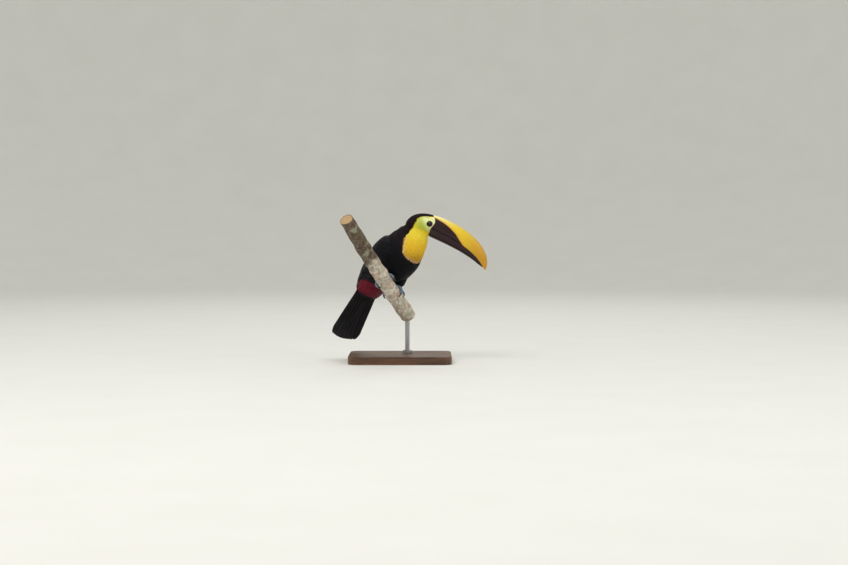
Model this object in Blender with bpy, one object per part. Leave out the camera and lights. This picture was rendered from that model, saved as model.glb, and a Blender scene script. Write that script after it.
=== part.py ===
"""A yellow-throated toucan (Ramphastos ambiguus), life size, as a still museum model.

The bird grips a short cut length of branch, which one rod carries on a flat base. Metres, +Z up.
The origin is the centre of the base's underside. A viewer in front of the model looks along +Y:
the bird's body faces the viewer's right and comes 40 degrees towards the front, and its head is
turned back so that the bill is seen from the side.
"""

import math

import bmesh
import bpy
import numpy as np
from mathutils import Matrix, Vector

# ---------------------------------------------------------------- driving dimensions
GAP = 0.0004  # clearance between touching solids
RING = 24  # sides of the body's cross-sections

# The stand.
BASE_SIZE = (0.230, 0.190, 0.018)
BASE_CORNER = 0.022
ROD_RADIUS = 0.005
COLLAR_RADIUS, COLLAR_HEIGHT = 0.0105, 0.007  # the ring that clamps the rod on the base

# The pose. Yaw turns from +X towards the viewer (-Y), pitch rises from the floor, and roll lowers
# the bird's left side, as the sloping branch makes it.
BODY_YAW, BODY_PITCH, BODY_ROLL = 40.0, 40.0, 20.0
TAIL_YAW, TAIL_PITCH, TAIL_ROLL = 40.0, 55.0, 32.0
HEAD_YAW, HEAD_PITCH = 3.0, -13.0
NECK_TOP = Vector((0.0413, -0.0245, 0.3010))

# The trunk and neck, from the tips of the tail coverts to the skull. Each row: distance from the
# tail root along the spine, the spine's yaw, pitch and roll there, half the width, and the depth
# to the back and to the belly.
SPINE = np.array(
    [
        (-0.023, TAIL_YAW, TAIL_PITCH, TAIL_ROLL, 0.0225, 0.0080, 0.0090),
        (-0.012, TAIL_YAW, 52.0, TAIL_ROLL, 0.0285, 0.0155, 0.0180),
        (0.000, 40.0, 49.0, 27.0, 0.0320, 0.0220, 0.0245),
        (0.032, BODY_YAW, 44.5, 24.0, 0.0395, 0.0330, 0.0380),
        (0.073, BODY_YAW, BODY_PITCH, BODY_ROLL, 0.0470, 0.0430, 0.0502),
        (0.108, BODY_YAW, BODY_PITCH, 16.0, 0.0490, 0.0445, 0.0565),
        (0.135, 36.0, 43.0, 11.0, 0.0460, 0.0440, 0.0520),
        (0.157, 28.0, 48.0, 6.0, 0.0390, 0.0405, 0.0440),
        (0.176, 16.0, 55.0, 2.0, 0.0300, 0.0350, 0.0360),
        (0.194, HEAD_YAW, 62.0, 0.0, 0.0190, 0.0215, 0.0225),
    ]
)
TRUNK_START, TRUNK_END = 0.012, 0.142
NECK_END = 0.194

# The wings, folded along the trunk. Each row: distance along the spine, the angles round the body
# of the lower and upper edge (0 at the belly line, 180 at the back line), and the thickness.
WING = np.array(
    [
        (-0.021, 134.0, 154.0, 0.0012),
        (-0.008, 118.0, 166.0, 0.0040),
        (0.020, 94.0, 168.0, 0.0055),
        (0.066, 70.0, 164.0, 0.0070),
        (0.106, 60.0, 158.0, 0.0078),
        (0.129, 66.0, 146.0, 0.0066),
        (0.140, 80.0, 128.0, 0.0030),
    ]
)

WING_GAP = 0.0018  # how far the wings' inner sides stand off the trunk

# The tail.
TAIL_LENGTH = 0.139
TAIL_HALF_WIDTH = (0.0250, 0.0345)  # at the root and near the tips
TAIL_THICKNESS = (0.0065, 0.0030)
TAIL_ARCH = 0.004  # how much the middle stands above the edges
TAIL_SWING = 0.003  # how far its root lies to the bird's right of the spine
TAIL_START = -0.010  # distance along the spine where its quills begin

# The head, from the bill to the nape, in its own frame: x forward from the bill's base, z up.
# Each row: x, half the width, half the height, and z of the middle.
SKULL = np.array(
    [
        (0.000, 0.0200, 0.0246, 0.0000),
        (-0.012, 0.0222, 0.0260, -0.0012),
        (-0.026, 0.0240, 0.0270, -0.0045),
        (-0.040, 0.0222, 0.0238, -0.0072),
        (-0.050, 0.0160, 0.0172, -0.0095),
        (-0.057, 0.0060, 0.0070, -0.0112),
    ]
)
BILL_BASE = Vector((0.0698, -0.0265, 0.3062))  # centre of the bill where it leaves the face
FACE_REACH = 0.0070  # how far the bare face reaches forward over the bill's root beside the eye
EYE_RADIUS = 0.0085
EYE_PLACE = Vector((-0.0037, 0.0148, 0.0031))  # the left eye; the right is its mirror

# The bill. Its middle line starts BILL_DROOP below the head's own line and bends further down.
BILL_LENGTH = 0.162
BILL_DEPTH, BILL_WIDTH = 0.0495, 0.0375
BILL_DROOP, BILL_BEND, BILL_HOOK = 8.0, 22.0, 43.0
LOWER_SHARE = (0.40, 0.25)  # the lower mandible's share of the depth, at the base and the tip
LOWER_END = 0.955  # where along the bill the lower mandible ends

# The branch. The grip is the point on its middle line beside the bird's belly. It rises away to
# the back, and a little to the viewer's left.
BRANCH_GRIP = Vector((-0.0405, -0.0850, 0.2007))
BRANCH_YAW, BRANCH_SLOPE = 30.0, 40.0
BRANCH_UP, BRANCH_DOWN = 0.185, 0.152  # its length above and below the grip
BRANCH_RADIUS = (0.0182, 0.0162)  # at the lower and upper cut
BRANCH_BOW = 0.004
KNOTS = (0.090, -0.128)  # where it swells, with a broken twig on each

# The legs. Each side: where the foot holds the branch (distance from the grip), and the angle
# round the body at which the heel meets the feathers.
FEET = {"right": (-0.034, 24.0), "left": (-0.077, 34.0)}
HEEL_AT, KNEE_AT = 0.060, 0.090  # distances along the spine
KNEE_TURN = 2.0  # how much further round the body than the heel the knee lies
HEEL_BACK = 0.013  # how far the heel bends towards the tail
THIGH_RADII = (0.0120, 0.0166, 0.0105, 0.0060)
TARSUS_RADIUS = 0.0034
FOOT_PAD = (0.0076, 0.0050, 0.0085)  # half-length along the branch, half-width, and height
# Each toe: which way it goes round the branch, its offset along the branch at the root and at the
# tip, its length and its radius. Two toes go forward and two back, as in every toucan.
TOES = {
    "toe_1": (-1, -0.0044, -0.0090, 0.017, 0.0030),
    "toe_2": (1, -0.0044, -0.0085, 0.025, 0.0033),
    "toe_3": (1, 0.0044, 0.0060, 0.036, 0.0036),
    "toe_4": (-1, 0.0044, 0.0095, 0.032, 0.0034),
}
CLAW_LENGTH = 0.011

COLOURS = {  # linear base colour, roughness, metallic
    "feathers_black": ((0.010, 0.009, 0.012), 0.55, 0.0),
    "bill_yellow": ((0.85, 0.55, 0.05), 0.30, 0.0),
    "bill_dark": ((0.035, 0.012, 0.012), 0.30, 0.0),
    "eye": ((0.012, 0.012, 0.006), 0.08, 0.0),
    "foot_skin": ((0.10, 0.14, 0.18), 0.55, 0.0),
    "claw": ((0.02, 0.02, 0.022), 0.35, 0.0),
    "bark": ((0.28, 0.24, 0.19), 0.85, 0.0),
    "base_wood": ((0.16, 0.08, 0.04), 0.40, 0.0),
    "rod_steel": ((0.45, 0.45, 0.46), 0.30, 1.0),
}


# ---------------------------------------------------------------- general helpers
def heading(yaw, pitch):
    """Unit vector with that yaw (from +X towards the viewer) and pitch, in degrees."""
    yaw, pitch = math.radians(yaw), math.radians(pitch)
    flat = math.cos(pitch)
    return Vector((flat * math.cos(yaw), -flat * math.sin(yaw), math.sin(pitch)))


def left_of(yaw):
    """The horizontal unit vector on the left of something that faces along that yaw."""
    return Vector((math.sin(math.radians(yaw)), math.cos(math.radians(yaw)), 0.0))


def smooth_rows(rows, at):
    """The row's other values at a first value, by a smooth curve through the rows."""
    x, y = rows[:, 0], rows[:, 1:]
    slope = np.gradient(y, x, axis=0)
    i = int(np.clip(np.searchsorted(x, at) - 1, 0, len(x) - 2))
    step = x[i + 1] - x[i]
    t = min(max((at - x[i]) / step, 0.0), 1.0)
    return (
        y[i] * (2 * t**3 - 3 * t**2 + 1)
        + slope[i] * step * (t**3 - 2 * t**2 + t)
        + y[i + 1] * (3 * t**2 - 2 * t**3)
        + slope[i + 1] * step * (t**3 - t**2)
    )


def material(name):
    """The named finish as a Principled BSDF."""
    found = bpy.data.materials.get(name)
    if found:
        return found
    colour, roughness, metallic = COLOURS[name]
    found = bpy.data.materials.new(name)
    found.use_nodes = True
    shader = found.node_tree.nodes["Principled BSDF"]
    shader.inputs["Base Color"].default_value = (*colour, 1.0)
    shader.inputs["Roughness"].default_value = roughness
    shader.inputs["Metallic"].default_value = metallic
    return found


def new_object(name, mesh, finish):
    """Links the mesh as an object with that finish, shaded smooth."""
    mesh.materials.append(material(finish))
    mesh.shade_smooth()
    mesh.set_sharp_from_angle(angle=math.radians(40))
    thing = bpy.data.objects.new(name, mesh)
    bpy.context.scene.collection.objects.link(thing)
    return thing


def loft(name, rings, finish, tips=(None, None)):
    """A closed solid through rings of points. A tip closes an end at a point, None at its ring."""
    bm = bmesh.new()
    rows = [[bm.verts.new(p) for p in ring] for ring in rings]
    sides = len(rows[0])
    for low, high in zip(rows, rows[1:]):
        for i in range(sides):
            j = (i + 1) % sides
            bm.faces.new((low[i], low[j], high[j], high[i]))
    for ring, tip in ((rows[0][::-1], tips[0]), (rows[-1], tips[1])):
        if tip is None:
            bm.faces.new(ring)
            continue
        point = bm.verts.new(tip)
        for i in range(sides):
            bm.faces.new((ring[i], ring[(i + 1) % sides], point))
    bmesh.ops.recalc_face_normals(bm, faces=bm.faces)
    mesh = bpy.data.meshes.new(name)
    bm.to_mesh(mesh)
    bm.free()
    return new_object(name, mesh, finish)


def tube(name, path, radii, finish, across, sides=10, tips=(None, None)):
    """A loft of ellipses along a path. radii holds (side, thickness) for each point, and across
    is the direction that the side radius follows."""
    rings = []
    for i, (p, (side, thick)) in enumerate(zip(path, radii)):
        run = (path[min(i + 1, len(path) - 1)] - path[max(i - 1, 0)]).normalized()
        wide = (across - run * across.dot(run)).normalized()
        deep = run.cross(wide)
        turns = [math.tau * k / sides for k in range(sides)]
        rings.append(
            [p + wide * (side * math.cos(a)) + deep * (thick * math.sin(a)) for a in turns]
        )
    return loft(name, rings, finish, tips)


def cutter(thing):
    """Marks an object as a helper that the model leaves out."""
    thing.hide_render = True
    thing.display_type = "WIRE"
    return thing


def cut(thing, by, operation="DIFFERENCE"):
    """Cuts (or joins) one object by another."""
    step = thing.modifiers.new(f"{operation.lower()}_{by.name}", "BOOLEAN")
    step.operation = operation
    step.solver = "EXACT"
    step.object = by
    return thing


# ---------------------------------------------------------------- the body's own surface
def rolled_left(yaw, pitch, roll):
    """The left side of something with that yaw and pitch, lowered by the roll."""
    forward, left = heading(yaw, pitch), left_of(yaw)
    return Matrix.Rotation(math.radians(-roll), 3, forward) @ left


def spine_table():
    """The spine's rows with their places added: distance, x, y, z, left (3), width, back, belly."""
    places = [NECK_TOP.copy()]
    for behind, ahead in zip(SPINE[-2::-1], SPINE[:0:-1]):
        run = (heading(*behind[1:3]) + heading(*ahead[1:3])).normalized()
        places.insert(0, places[0] - run * (ahead[0] - behind[0]))
    rows = []
    for i, (at, yaw, pitch, roll, *sizes) in enumerate(SPINE):
        rows.append((at, *places[i], *rolled_left(yaw, pitch, roll), *sizes))
    return np.array(rows)


SPINE_PLACES = spine_table()


def body_frame(at):
    """Centre, forward, left and up of the body at that distance along the spine, and its half
    width, back depth and belly depth."""
    row = smooth_rows(SPINE_PLACES, at)
    step = 0.002
    ahead = smooth_rows(SPINE_PLACES, min(at + step, SPINE_PLACES[-1, 0]))
    behind = smooth_rows(SPINE_PLACES, max(at - step, SPINE_PLACES[0, 0]))
    forward = Vector(ahead[:3] - behind[:3]).normalized()
    left = Vector(row[3:6])
    left = (left - forward * left.dot(forward)).normalized()
    return Vector(row[:3]), forward, left, forward.cross(left), *row[6:9]


def body_point(at, angle, side=1, lift=0.0):
    """A point of the body's surface, raised by lift. The angle is 0 on the belly line, 90 at the
    side and 180 on the back line, and side is 1 on the left and -1 on the right."""
    centre, _, left, up, width, back, belly = body_frame(at)
    turn = math.radians(angle)
    depth = back if angle > 90 else belly
    across = left * (side * (width + lift) * math.sin(turn))
    return centre + across - up * ((depth + lift) * math.cos(turn))


def body_ring(at, lift=0.0):
    """The whole cross-section at that distance along the spine."""
    ring = []
    for k in range(RING):
        angle = 360.0 * k / RING
        side, folded = (1, angle) if angle <= 180 else (-1, 360 - angle)
        ring.append(body_point(at, folded, side, lift))
    return ring


def body_length(name, start, end, steps, lift=0.0):
    """The length of the body between two distances along the spine."""
    rings = [body_ring(at, lift) for at in np.linspace(start, end, steps)]
    return loft(name, rings, "feathers_black")


# ---------------------------------------------------------------- the bird's parts
def head_frame():
    """The head's frame as a matrix: x forward, y left, z up, from the bill's base."""
    forward = heading(HEAD_YAW, HEAD_PITCH)
    left = left_of(HEAD_YAW)
    turn = Matrix((forward, left, forward.cross(left))).transposed()
    return Matrix.Translation(BILL_BASE) @ turn.to_4x4()


HEAD = head_frame()


def face_edge(height):
    """How far forward the face reaches at that height on the bill's root."""
    middle, spread = 0.009, 0.0125
    return FACE_REACH * math.exp(-(((height - middle) / spread) ** 2))


def skull(name, lift=0.0):
    """The head as rings from the nape forward, ending on the shaped edge of the face."""
    rings = []
    for x in (-0.055, -0.051, -0.046, -0.040, -0.033, -0.026, -0.018, -0.011, -0.005, 0.0):
        width, height, middle = smooth_rows(SKULL[::-1], x)
        ring = []
        for k in range(RING):
            turn = math.tau * k / RING
            z = middle - (height + lift) * math.cos(turn)
            reach = face_edge(z) + lift if x == 0.0 else 0.0
            ring.append(HEAD @ Vector((x + reach, (width + lift) * math.sin(turn), z)))
        rings.append(ring)
    nape = HEAD @ Vector((SKULL[-1, 0] - lift, 0, SKULL[-1, 3]))
    brow = HEAD @ Vector((FACE_REACH + lift, 0, 0))
    return loft(name, rings, "feathers_black", tips=(nape, brow))


def eyeball(name, side, radius):
    """One eye, as a sphere."""
    mesh = bpy.data.meshes.new(name)
    bm = bmesh.new()
    bmesh.ops.create_icosphere(bm, subdivisions=2, radius=radius)
    place = HEAD @ Vector((EYE_PLACE.x, side * EYE_PLACE.y, EYE_PLACE.z))
    bm.transform(Matrix.Translation(place))
    bm.to_mesh(mesh)
    bm.free()
    return new_object(name, mesh, "eye")


def bill_line(steps=60):
    """The bill's middle line: for each share of its length the point and the run, head frame."""
    x, z, rows = 0.0, 0.0, []
    for k in range(steps + 1):
        share = k / steps
        droop = math.radians(BILL_DROOP + BILL_BEND * share + BILL_HOOK * share**4)
        rows.append((share, x, z, droop))
        x += BILL_LENGTH / steps * math.cos(droop)
        z -= BILL_LENGTH / steps * math.sin(droop)
    return np.array(rows)


BILL_LINE = bill_line()


def bill_section(share):
    """The bill's centre, upward direction, half width, half depth and the mandibles' meeting
    height there, in the head's frame. A share under 0 is the root inside the face."""
    inside = max(share, 0.0)
    x, z, droop = (np.interp(inside, BILL_LINE[:, 0], BILL_LINE[:, c]) for c in (1, 2, 3))
    run = Vector((math.cos(droop), 0, -math.sin(droop)))
    centre = Vector((x, 0, z)) + run * (BILL_LENGTH * (share - inside))
    taper = max(1 - inside**3, 0.0)
    root = 1 - 0.06 * max(1 - inside / 0.15, 0.0) ** 2
    depth = BILL_DEPTH / 2 * root * taper**0.7
    width = BILL_WIDTH / 2 * (0.30 + 0.70 * (1 - inside) ** 0.8) * taper**0.4
    lower = LOWER_SHARE[0] + (LOWER_SHARE[1] - LOWER_SHARE[0]) * inside
    return centre, Vector((math.sin(droop), 0, math.cos(droop))), width, depth, (2 * lower - 1)


def bill_ring(share, upper, points=9):
    """One mandible's cross-section: an arch over or under the line where the two meet."""
    centre, up, width, depth, meet = bill_section(share)
    edge = meet + (GAP / depth) * (0.5 if upper else -0.5)
    limit = math.acos(max(-1.0, min(1.0, edge if upper else -edge)))
    ring = []
    for k in range(points):
        turn = limit * (2 * k / (points - 1) - 1)
        height = math.cos(turn) * (1 if upper else -1)
        side = math.copysign(abs(math.sin(turn)) ** 0.85, math.sin(turn))
        overhang = 1.0 if upper else 0.965
        ring.append(HEAD @ (centre + up * (depth * height) + Vector((0, width * side * overhang, 0))))
    return ring


def mandible(name, upper):
    """One half of the bill, cut to fit the face."""
    end = 1.0 if upper else LOWER_END
    shares = [-0.05, 0.02, 0.09, 0.17, 0.26, 0.35, 0.44, 0.53, 0.61, 0.69, 0.76, 0.83, 0.89, 0.94]
    shares = [s for s in shares if s < end - 0.01]
    centre, up, _, depth, meet = bill_section(end if upper else end - 0.002)
    tip = HEAD @ (centre + up * (depth * meet * 0.9))
    rings = [bill_ring(s, upper) for s in shares]
    return loft(name, rings, "bill_yellow" if upper else "bill_dark", tips=(None, tip))


def wing(name, side):
    """A folded wing: a shell that lies along the trunk, thickest in its middle."""
    points, rings = 9, []
    for at in np.linspace(WING[0, 0], WING[-1, 0], 15):
        low, high, thick = smooth_rows(WING, at)
        angles = np.linspace(low, high, points)
        crown = [thick * math.sin(math.pi * (k + 0.5) / points) ** 0.6 for k in range(points)]
        outer = [body_point(at, a, side, WING_GAP + max(t, 0.0010)) for a, t in zip(angles, crown)]
        inner = [body_point(at, a, side, WING_GAP) for a in angles[::-1]]
        rings.append(outer + inner)
    return loft(name, rings, "feathers_black")


def tail_frame():
    """The tail's root, its run towards the tips, its left and its upper side."""
    root, forward, left, up, *_ = body_frame(TAIL_START)
    run = -heading(TAIL_YAW, TAIL_PITCH)
    left = rolled_left(TAIL_YAW, TAIL_PITCH, TAIL_ROLL)
    return root - left * TAIL_SWING, run, left, left.cross(run)


def tail(name, grow=0.0):
    """The tail feathers as one arched fan with a round end."""
    root, run, left, up = tail_frame()
    across, rings = 9, []
    for share in (0.0, 0.12, 0.25, 0.4, 0.55, 0.7, 0.82, 0.9, 0.95, 0.98, 1.0):
        spread = TAIL_HALF_WIDTH[0] + (TAIL_HALF_WIDTH[1] - TAIL_HALF_WIDTH[0]) * min(share / 0.85, 1)
        rounded = math.sqrt(max(1 - (max(share - 0.72, 0) / 0.30) ** 2.4, 0.0))
        half = spread * rounded + grow
        thick = TAIL_THICKNESS[0] + (TAIL_THICKNESS[1] - TAIL_THICKNESS[0]) * share
        upper, lower = [], []
        for k in range(across):
            v = 2 * k / (across - 1) - 1
            rise = TAIL_ARCH * (1 - (v * rounded) ** 2) * min(0.4 + share, 1)
            skin = (thick / 2) * (1 - 0.75 * v * v) + grow
            middle = root + run * (TAIL_LENGTH * share) + left * (half * v) + up * rise
            upper.append(middle + up * skin)
            lower.append(middle - up * skin)
        rings.append(upper + lower[::-1])
    return loft(name, rings, "feathers_black")


# ---------------------------------------------------------------- branch, legs and stand
BRANCH_RUN = (-left_of(BRANCH_YAW)) * math.cos(math.radians(BRANCH_SLOPE)) + Vector(
    (0, 0, math.sin(math.radians(BRANCH_SLOPE)))
)
BRANCH_SIDE = BRANCH_RUN.cross(Vector((0, 0, 1))).normalized()


def branch_at(along):
    """The branch's middle and radius at that distance above the grip."""
    share = (along + BRANCH_DOWN) / (BRANCH_UP + BRANCH_DOWN)
    bow = BRANCH_BOW * math.sin(math.pi * share)
    radius = BRANCH_RADIUS[0] + (BRANCH_RADIUS[1] - BRANCH_RADIUS[0]) * share
    return BRANCH_GRIP + BRANCH_RUN * along + BRANCH_SIDE * bow, radius


def branch(name, grow=0.0):
    """The cut length of branch. It swells at two knots, clear of the feet."""
    path, radii = [], []
    for along in np.linspace(-BRANCH_DOWN - grow, BRANCH_UP + grow, 24):
        middle, radius = branch_at(along)
        knots = sum(math.exp(-(((along - at) / 0.012) ** 2)) for at in KNOTS)
        swell = radius * (1 + 0.10 * knots) + grow
        path.append(middle)
        radii.append((swell, swell * (0.96 + 0.03 * math.sin(60 * along))))
    return tube(name, path, radii, "bark", BRANCH_SIDE, sides=20)


def twig_stub(name, along, turn, length, radius):
    """A broken-off side twig, to be joined to the branch."""
    middle, thick = branch_at(along)
    out = Matrix.Rotation(math.radians(turn), 3, BRANCH_RUN) @ BRANCH_SIDE
    out = (out + BRANCH_RUN * 0.7).normalized()
    path = [middle + out * (thick * 0.5), middle + out * (thick + length * 0.4)]
    path.append(middle + out * (thick + length))
    radii = [(radius * 1.5, radius * 1.5), (radius, radius), (radius * 0.85, radius * 0.85)]
    return cutter(tube(name, path, radii, "bark", BRANCH_RUN, sides=10))


class Leg:
    """The places that one leg's pieces share."""

    def __init__(self, side, along, angle):
        hand = 1 if side == "left" else -1
        self.axis, self.radius = branch_at(along)
        heel = body_point(HEEL_AT, angle, hand)
        knee = body_point(KNEE_AT, angle + KNEE_TURN, hand)
        self.knee = body_frame(KNEE_AT)[0].lerp(knee, 0.78)
        out = heel - self.axis
        self.out = (out - BRANCH_RUN * out.dot(BRANCH_RUN)).normalized()
        self.front = BRANCH_RUN.cross(self.out)
        if self.front.dot(heading(BODY_YAW, 0)) < 0:
            self.front.negate()
        self.pad_top = self.axis + self.out * (self.radius + FOOT_PAD[2] + 0.004)
        self.ankle = self.pad_top.lerp(heel, 0.45) - heading(BODY_YAW, BODY_PITCH) * HEEL_BACK

    def round_branch(self, turn, offset, height):
        """A point at that angle round the branch (towards the front is positive), that far along
        it and that high over its middle line."""
        spoke = self.out * math.cos(turn) + self.front * math.sin(turn)
        return self.axis + BRANCH_RUN * offset + spoke * height


def thigh(name, leg, trunk_cutter, tarsus_cutter):
    """The feathered leg, from the belly to the ankle, with a socket for the shank."""
    past = leg.ankle + (leg.ankle - leg.knee).normalized() * 0.003
    path = [leg.knee, leg.knee.lerp(leg.ankle, 0.45), leg.ankle, past]
    radii = [(r, r) for r in THIGH_RADII]
    limb = tube(name, path, radii, "feathers_black", BRANCH_RUN, sides=14)
    return cut(cut(limb, trunk_cutter), tarsus_cutter)


def tarsus(name, leg, grow=0.0):
    """The scaly shank and the pad that the toes grow from."""
    length, width, height = FOOT_PAD
    inside = leg.ankle + (leg.ankle - leg.pad_top).normalized() * (0.002 + grow)
    path = [inside, leg.ankle.lerp(leg.pad_top, 0.5), leg.pad_top]
    radii = [(TARSUS_RADIUS * 1.1 + grow,) * 2, (TARSUS_RADIUS + grow,) * 2]
    radii.append((TARSUS_RADIUS * 1.1 + grow,) * 2)
    for share, size in ((0.75, 0.70), (0.45, 1.0), (0.2, 1.0), (0.0, 0.75)):
        path.append(leg.axis + leg.out * (leg.radius + GAP + height * share))
        radii.append((length * size + grow, width * size + grow))
    return tube(name, path, radii, "foot_skin", BRANCH_RUN, sides=10)


def toe(name, leg, way, root, tip, length, radius):
    """One toe, curled round the branch, with a swollen joint."""
    middle = leg.radius + GAP + radius
    start = (FOOT_PAD[1] + 2 * GAP) / middle
    path, radii = [], []
    for share in np.linspace(0, 1, 8):
        turn = start + (length / middle) * share
        thick = radius * (1 - 0.22 * share) * (1 + 0.08 * math.sin(5 * math.pi * share))
        height = leg.radius + GAP + thick
        path.append(leg.round_branch(way * turn, root + (tip - root) * share, height))
        radii.append((thick, thick))
    return tube(name, path, radii, "foot_skin", BRANCH_RUN, sides=8)


def claw(name, leg, way, root, tip, length, radius):
    """The claw on a toe's end, hooked into the bark's curve."""
    middle = leg.radius + GAP + radius
    start = (FOOT_PAD[1] + 2 * GAP + length + GAP) / middle
    path, radii = [], []
    for share in (0.0, 0.35, 0.7):
        turn = start + CLAW_LENGTH / middle * share
        thick = radius * 0.62 * (1 - 0.75 * share)
        lift = leg.radius + GAP + radius * 0.9 * (1 - 0.5 * share**2)
        path.append(leg.round_branch(way * turn, tip, lift))
        radii.append((thick * 0.8, thick))
    end = leg.round_branch(way * (start + CLAW_LENGTH / middle), tip, leg.radius + 2 * GAP)
    return tube(name, path, radii, "claw", BRANCH_RUN, sides=8, tips=(None, end))


def stand_base(name):
    """The flat base: a board with round corners and an eased top edge."""
    width, depth, height = BASE_SIZE
    bm = bmesh.new()
    bmesh.ops.create_cube(bm, size=1.0)
    bm.transform(Matrix.Translation((0, 0, height / 2)) @ Matrix.Diagonal((*BASE_SIZE, 1)))
    upright = [e for e in bm.edges if abs(e.verts[0].co.z - e.verts[1].co.z) > height / 2]
    bmesh.ops.bevel(bm, geom=upright, offset=BASE_CORNER, segments=6, profile=0.5, affect="EDGES")
    rim = [e for e in bm.edges if all(v.co.z > height * 0.99 for v in e.verts)]
    bmesh.ops.bevel(bm, geom=rim, offset=0.002, segments=2, profile=0.5, affect="EDGES")
    mesh = bpy.data.meshes.new(name)
    bm.to_mesh(mesh)
    bm.free()
    return new_object(name, mesh, "base_wood")


def rod_foot():
    """The point of the base's top that the rod stands on, under the branch's lower end."""
    end, radius = branch_at(-BRANCH_DOWN)
    flat_run = Vector((BRANCH_RUN.x, BRANCH_RUN.y, 0))
    foot = end + flat_run * (radius * 0.25)
    return Vector((foot.x, foot.y, BASE_SIZE[2] + GAP))


def stand_rod(name, branch_cutter):
    """The upright rod, from the base to the branch's lower end."""
    low, end = rod_foot(), branch_at(-BRANCH_DOWN)[0]
    high = Vector((low.x, low.y, end.z + BRANCH_RADIUS[0]))
    radii = [(ROD_RADIUS, ROD_RADIUS)] * 2
    return cut(tube(name, [low, high], radii, "rod_steel", Vector((1, 0, 0)), 20), branch_cutter)


def stand_collar(name):
    """The ring at the rod's foot, with an eased top edge and a clear hole for the rod."""
    low, ease = rod_foot(), 0.0012
    heights = (0.0, COLLAR_HEIGHT - ease, COLLAR_HEIGHT)
    path = [low + Vector((0, 0, height)) for height in heights]
    radii = [(COLLAR_RADIUS, COLLAR_RADIUS)] * 2 + [(COLLAR_RADIUS - ease,) * 2]
    ring = tube(name, path, radii, "rod_steel", Vector((1, 0, 0)), 28)
    hole_path = [low - Vector((0, 0, 0.002)), low + Vector((0, 0, COLLAR_HEIGHT + 0.002))]
    hole_radii = [(ROD_RADIUS + GAP,) * 2] * 2
    hole = tube("collar_hole", hole_path, hole_radii, "rod_steel", Vector((1, 0, 0)), 20)
    return cut(ring, cutter(hole))


# ---------------------------------------------------------------- assembly
def clear_scene():
    for thing in list(bpy.data.objects):
        bpy.data.objects.remove(thing)


def build_body():
    trunk_cutter = cutter(body_length("trunk_cutter", -0.02, NECK_END - 0.03, 16, GAP))
    tail_cutter = cutter(tail("tail_cutter", GAP))
    head_cutter = cutter(skull("head_cutter", GAP))
    body_length("trunk", TRUNK_START, TRUNK_END, 13)
    cut(body_length("rump", SPINE[0, 0], TRUNK_START - GAP, 7), tail_cutter)
    cut(body_length("neck", TRUNK_END + GAP, NECK_END, 7), head_cutter)
    tail("tail")
    head = skull("head")
    for name, side in (("left", 1), ("right", -1)):
        cut(head, cutter(eyeball(f"socket_{name}", side, EYE_RADIUS + GAP)))
        eyeball(f"eye_{name}", side, EYE_RADIUS)
        wing(f"wing_{name}", side)
    for name, upper in (("bill_upper", True), ("bill_lower", False)):
        cut(mandible(name, upper), head_cutter)
    return trunk_cutter


def build_legs(trunk_cutter):
    for side, place in FEET.items():
        leg = Leg(side, *place)
        tarsus(f"tarsus_{side}", leg)
        socket = cutter(tarsus(f"tarsus_cutter_{side}", leg, GAP))
        thigh(f"thigh_{side}", leg, trunk_cutter, socket)
        for toe_name, shape in TOES.items():
            toe(f"{toe_name}_{side}", leg, *shape)
            claw(f"claw_{toe_name[-1]}_{side}", leg, *shape)


def build_mount():
    perch = branch("perch_branch")
    for name, *shape in (
        ("twig_stub_upper", KNOTS[0], 100, 0.012, 0.0050),
        ("twig_stub_lower", KNOTS[1], -60, 0.008, 0.0045),
    ):
        cut(perch, twig_stub(name, *shape), "UNION")
    stand_base("stand_base")
    stand_rod("stand_rod", cutter(branch("branch_cutter", GAP)))
    stand_collar("stand_collar")


clear_scene()
build_legs(build_body())
build_mount()
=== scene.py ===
"""A life-size yellow-throated toucan on its perch: skin, plumage, bill, eyes, feet, bark and stand.

The finished surfaces are made round the packed model, which stays the fixed frame. Metres, +Z up.
A viewer in front looks along +Y. The body's places are given by the distance along its spine from
the tail root and the turn round it: 0 on the belly line, 90 on its left side, -90 on its right.
"""

import math
from functools import partial

import bmesh
import bpy
import numpy as np
from mathutils import Matrix, Vector, kdtree, noise

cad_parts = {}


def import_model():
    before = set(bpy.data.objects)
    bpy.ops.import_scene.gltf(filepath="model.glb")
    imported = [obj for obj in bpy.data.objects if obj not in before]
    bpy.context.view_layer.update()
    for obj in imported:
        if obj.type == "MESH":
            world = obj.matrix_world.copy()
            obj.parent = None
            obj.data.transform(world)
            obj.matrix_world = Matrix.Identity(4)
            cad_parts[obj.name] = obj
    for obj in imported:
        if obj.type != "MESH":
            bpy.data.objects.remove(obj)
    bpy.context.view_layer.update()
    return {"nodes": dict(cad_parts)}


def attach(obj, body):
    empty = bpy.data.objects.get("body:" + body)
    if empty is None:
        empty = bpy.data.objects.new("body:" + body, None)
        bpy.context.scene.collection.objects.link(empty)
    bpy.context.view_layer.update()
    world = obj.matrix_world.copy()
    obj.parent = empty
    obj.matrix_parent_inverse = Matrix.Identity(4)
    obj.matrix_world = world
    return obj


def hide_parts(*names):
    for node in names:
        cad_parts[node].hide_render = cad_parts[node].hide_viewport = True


bl_info = {
    "name": "Toucan on a Perch",
    "version": (1, 0, 0),
    "blender": (4, 5, 0),
    "location": "View3D > Sidebar > Toucan",
    "description": "Builds a life-size model of a yellow-throated toucan on a cut branch",
    "category": "Add Mesh",
}

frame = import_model()
CAD = frame["nodes"]
MM = 0.001

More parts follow.
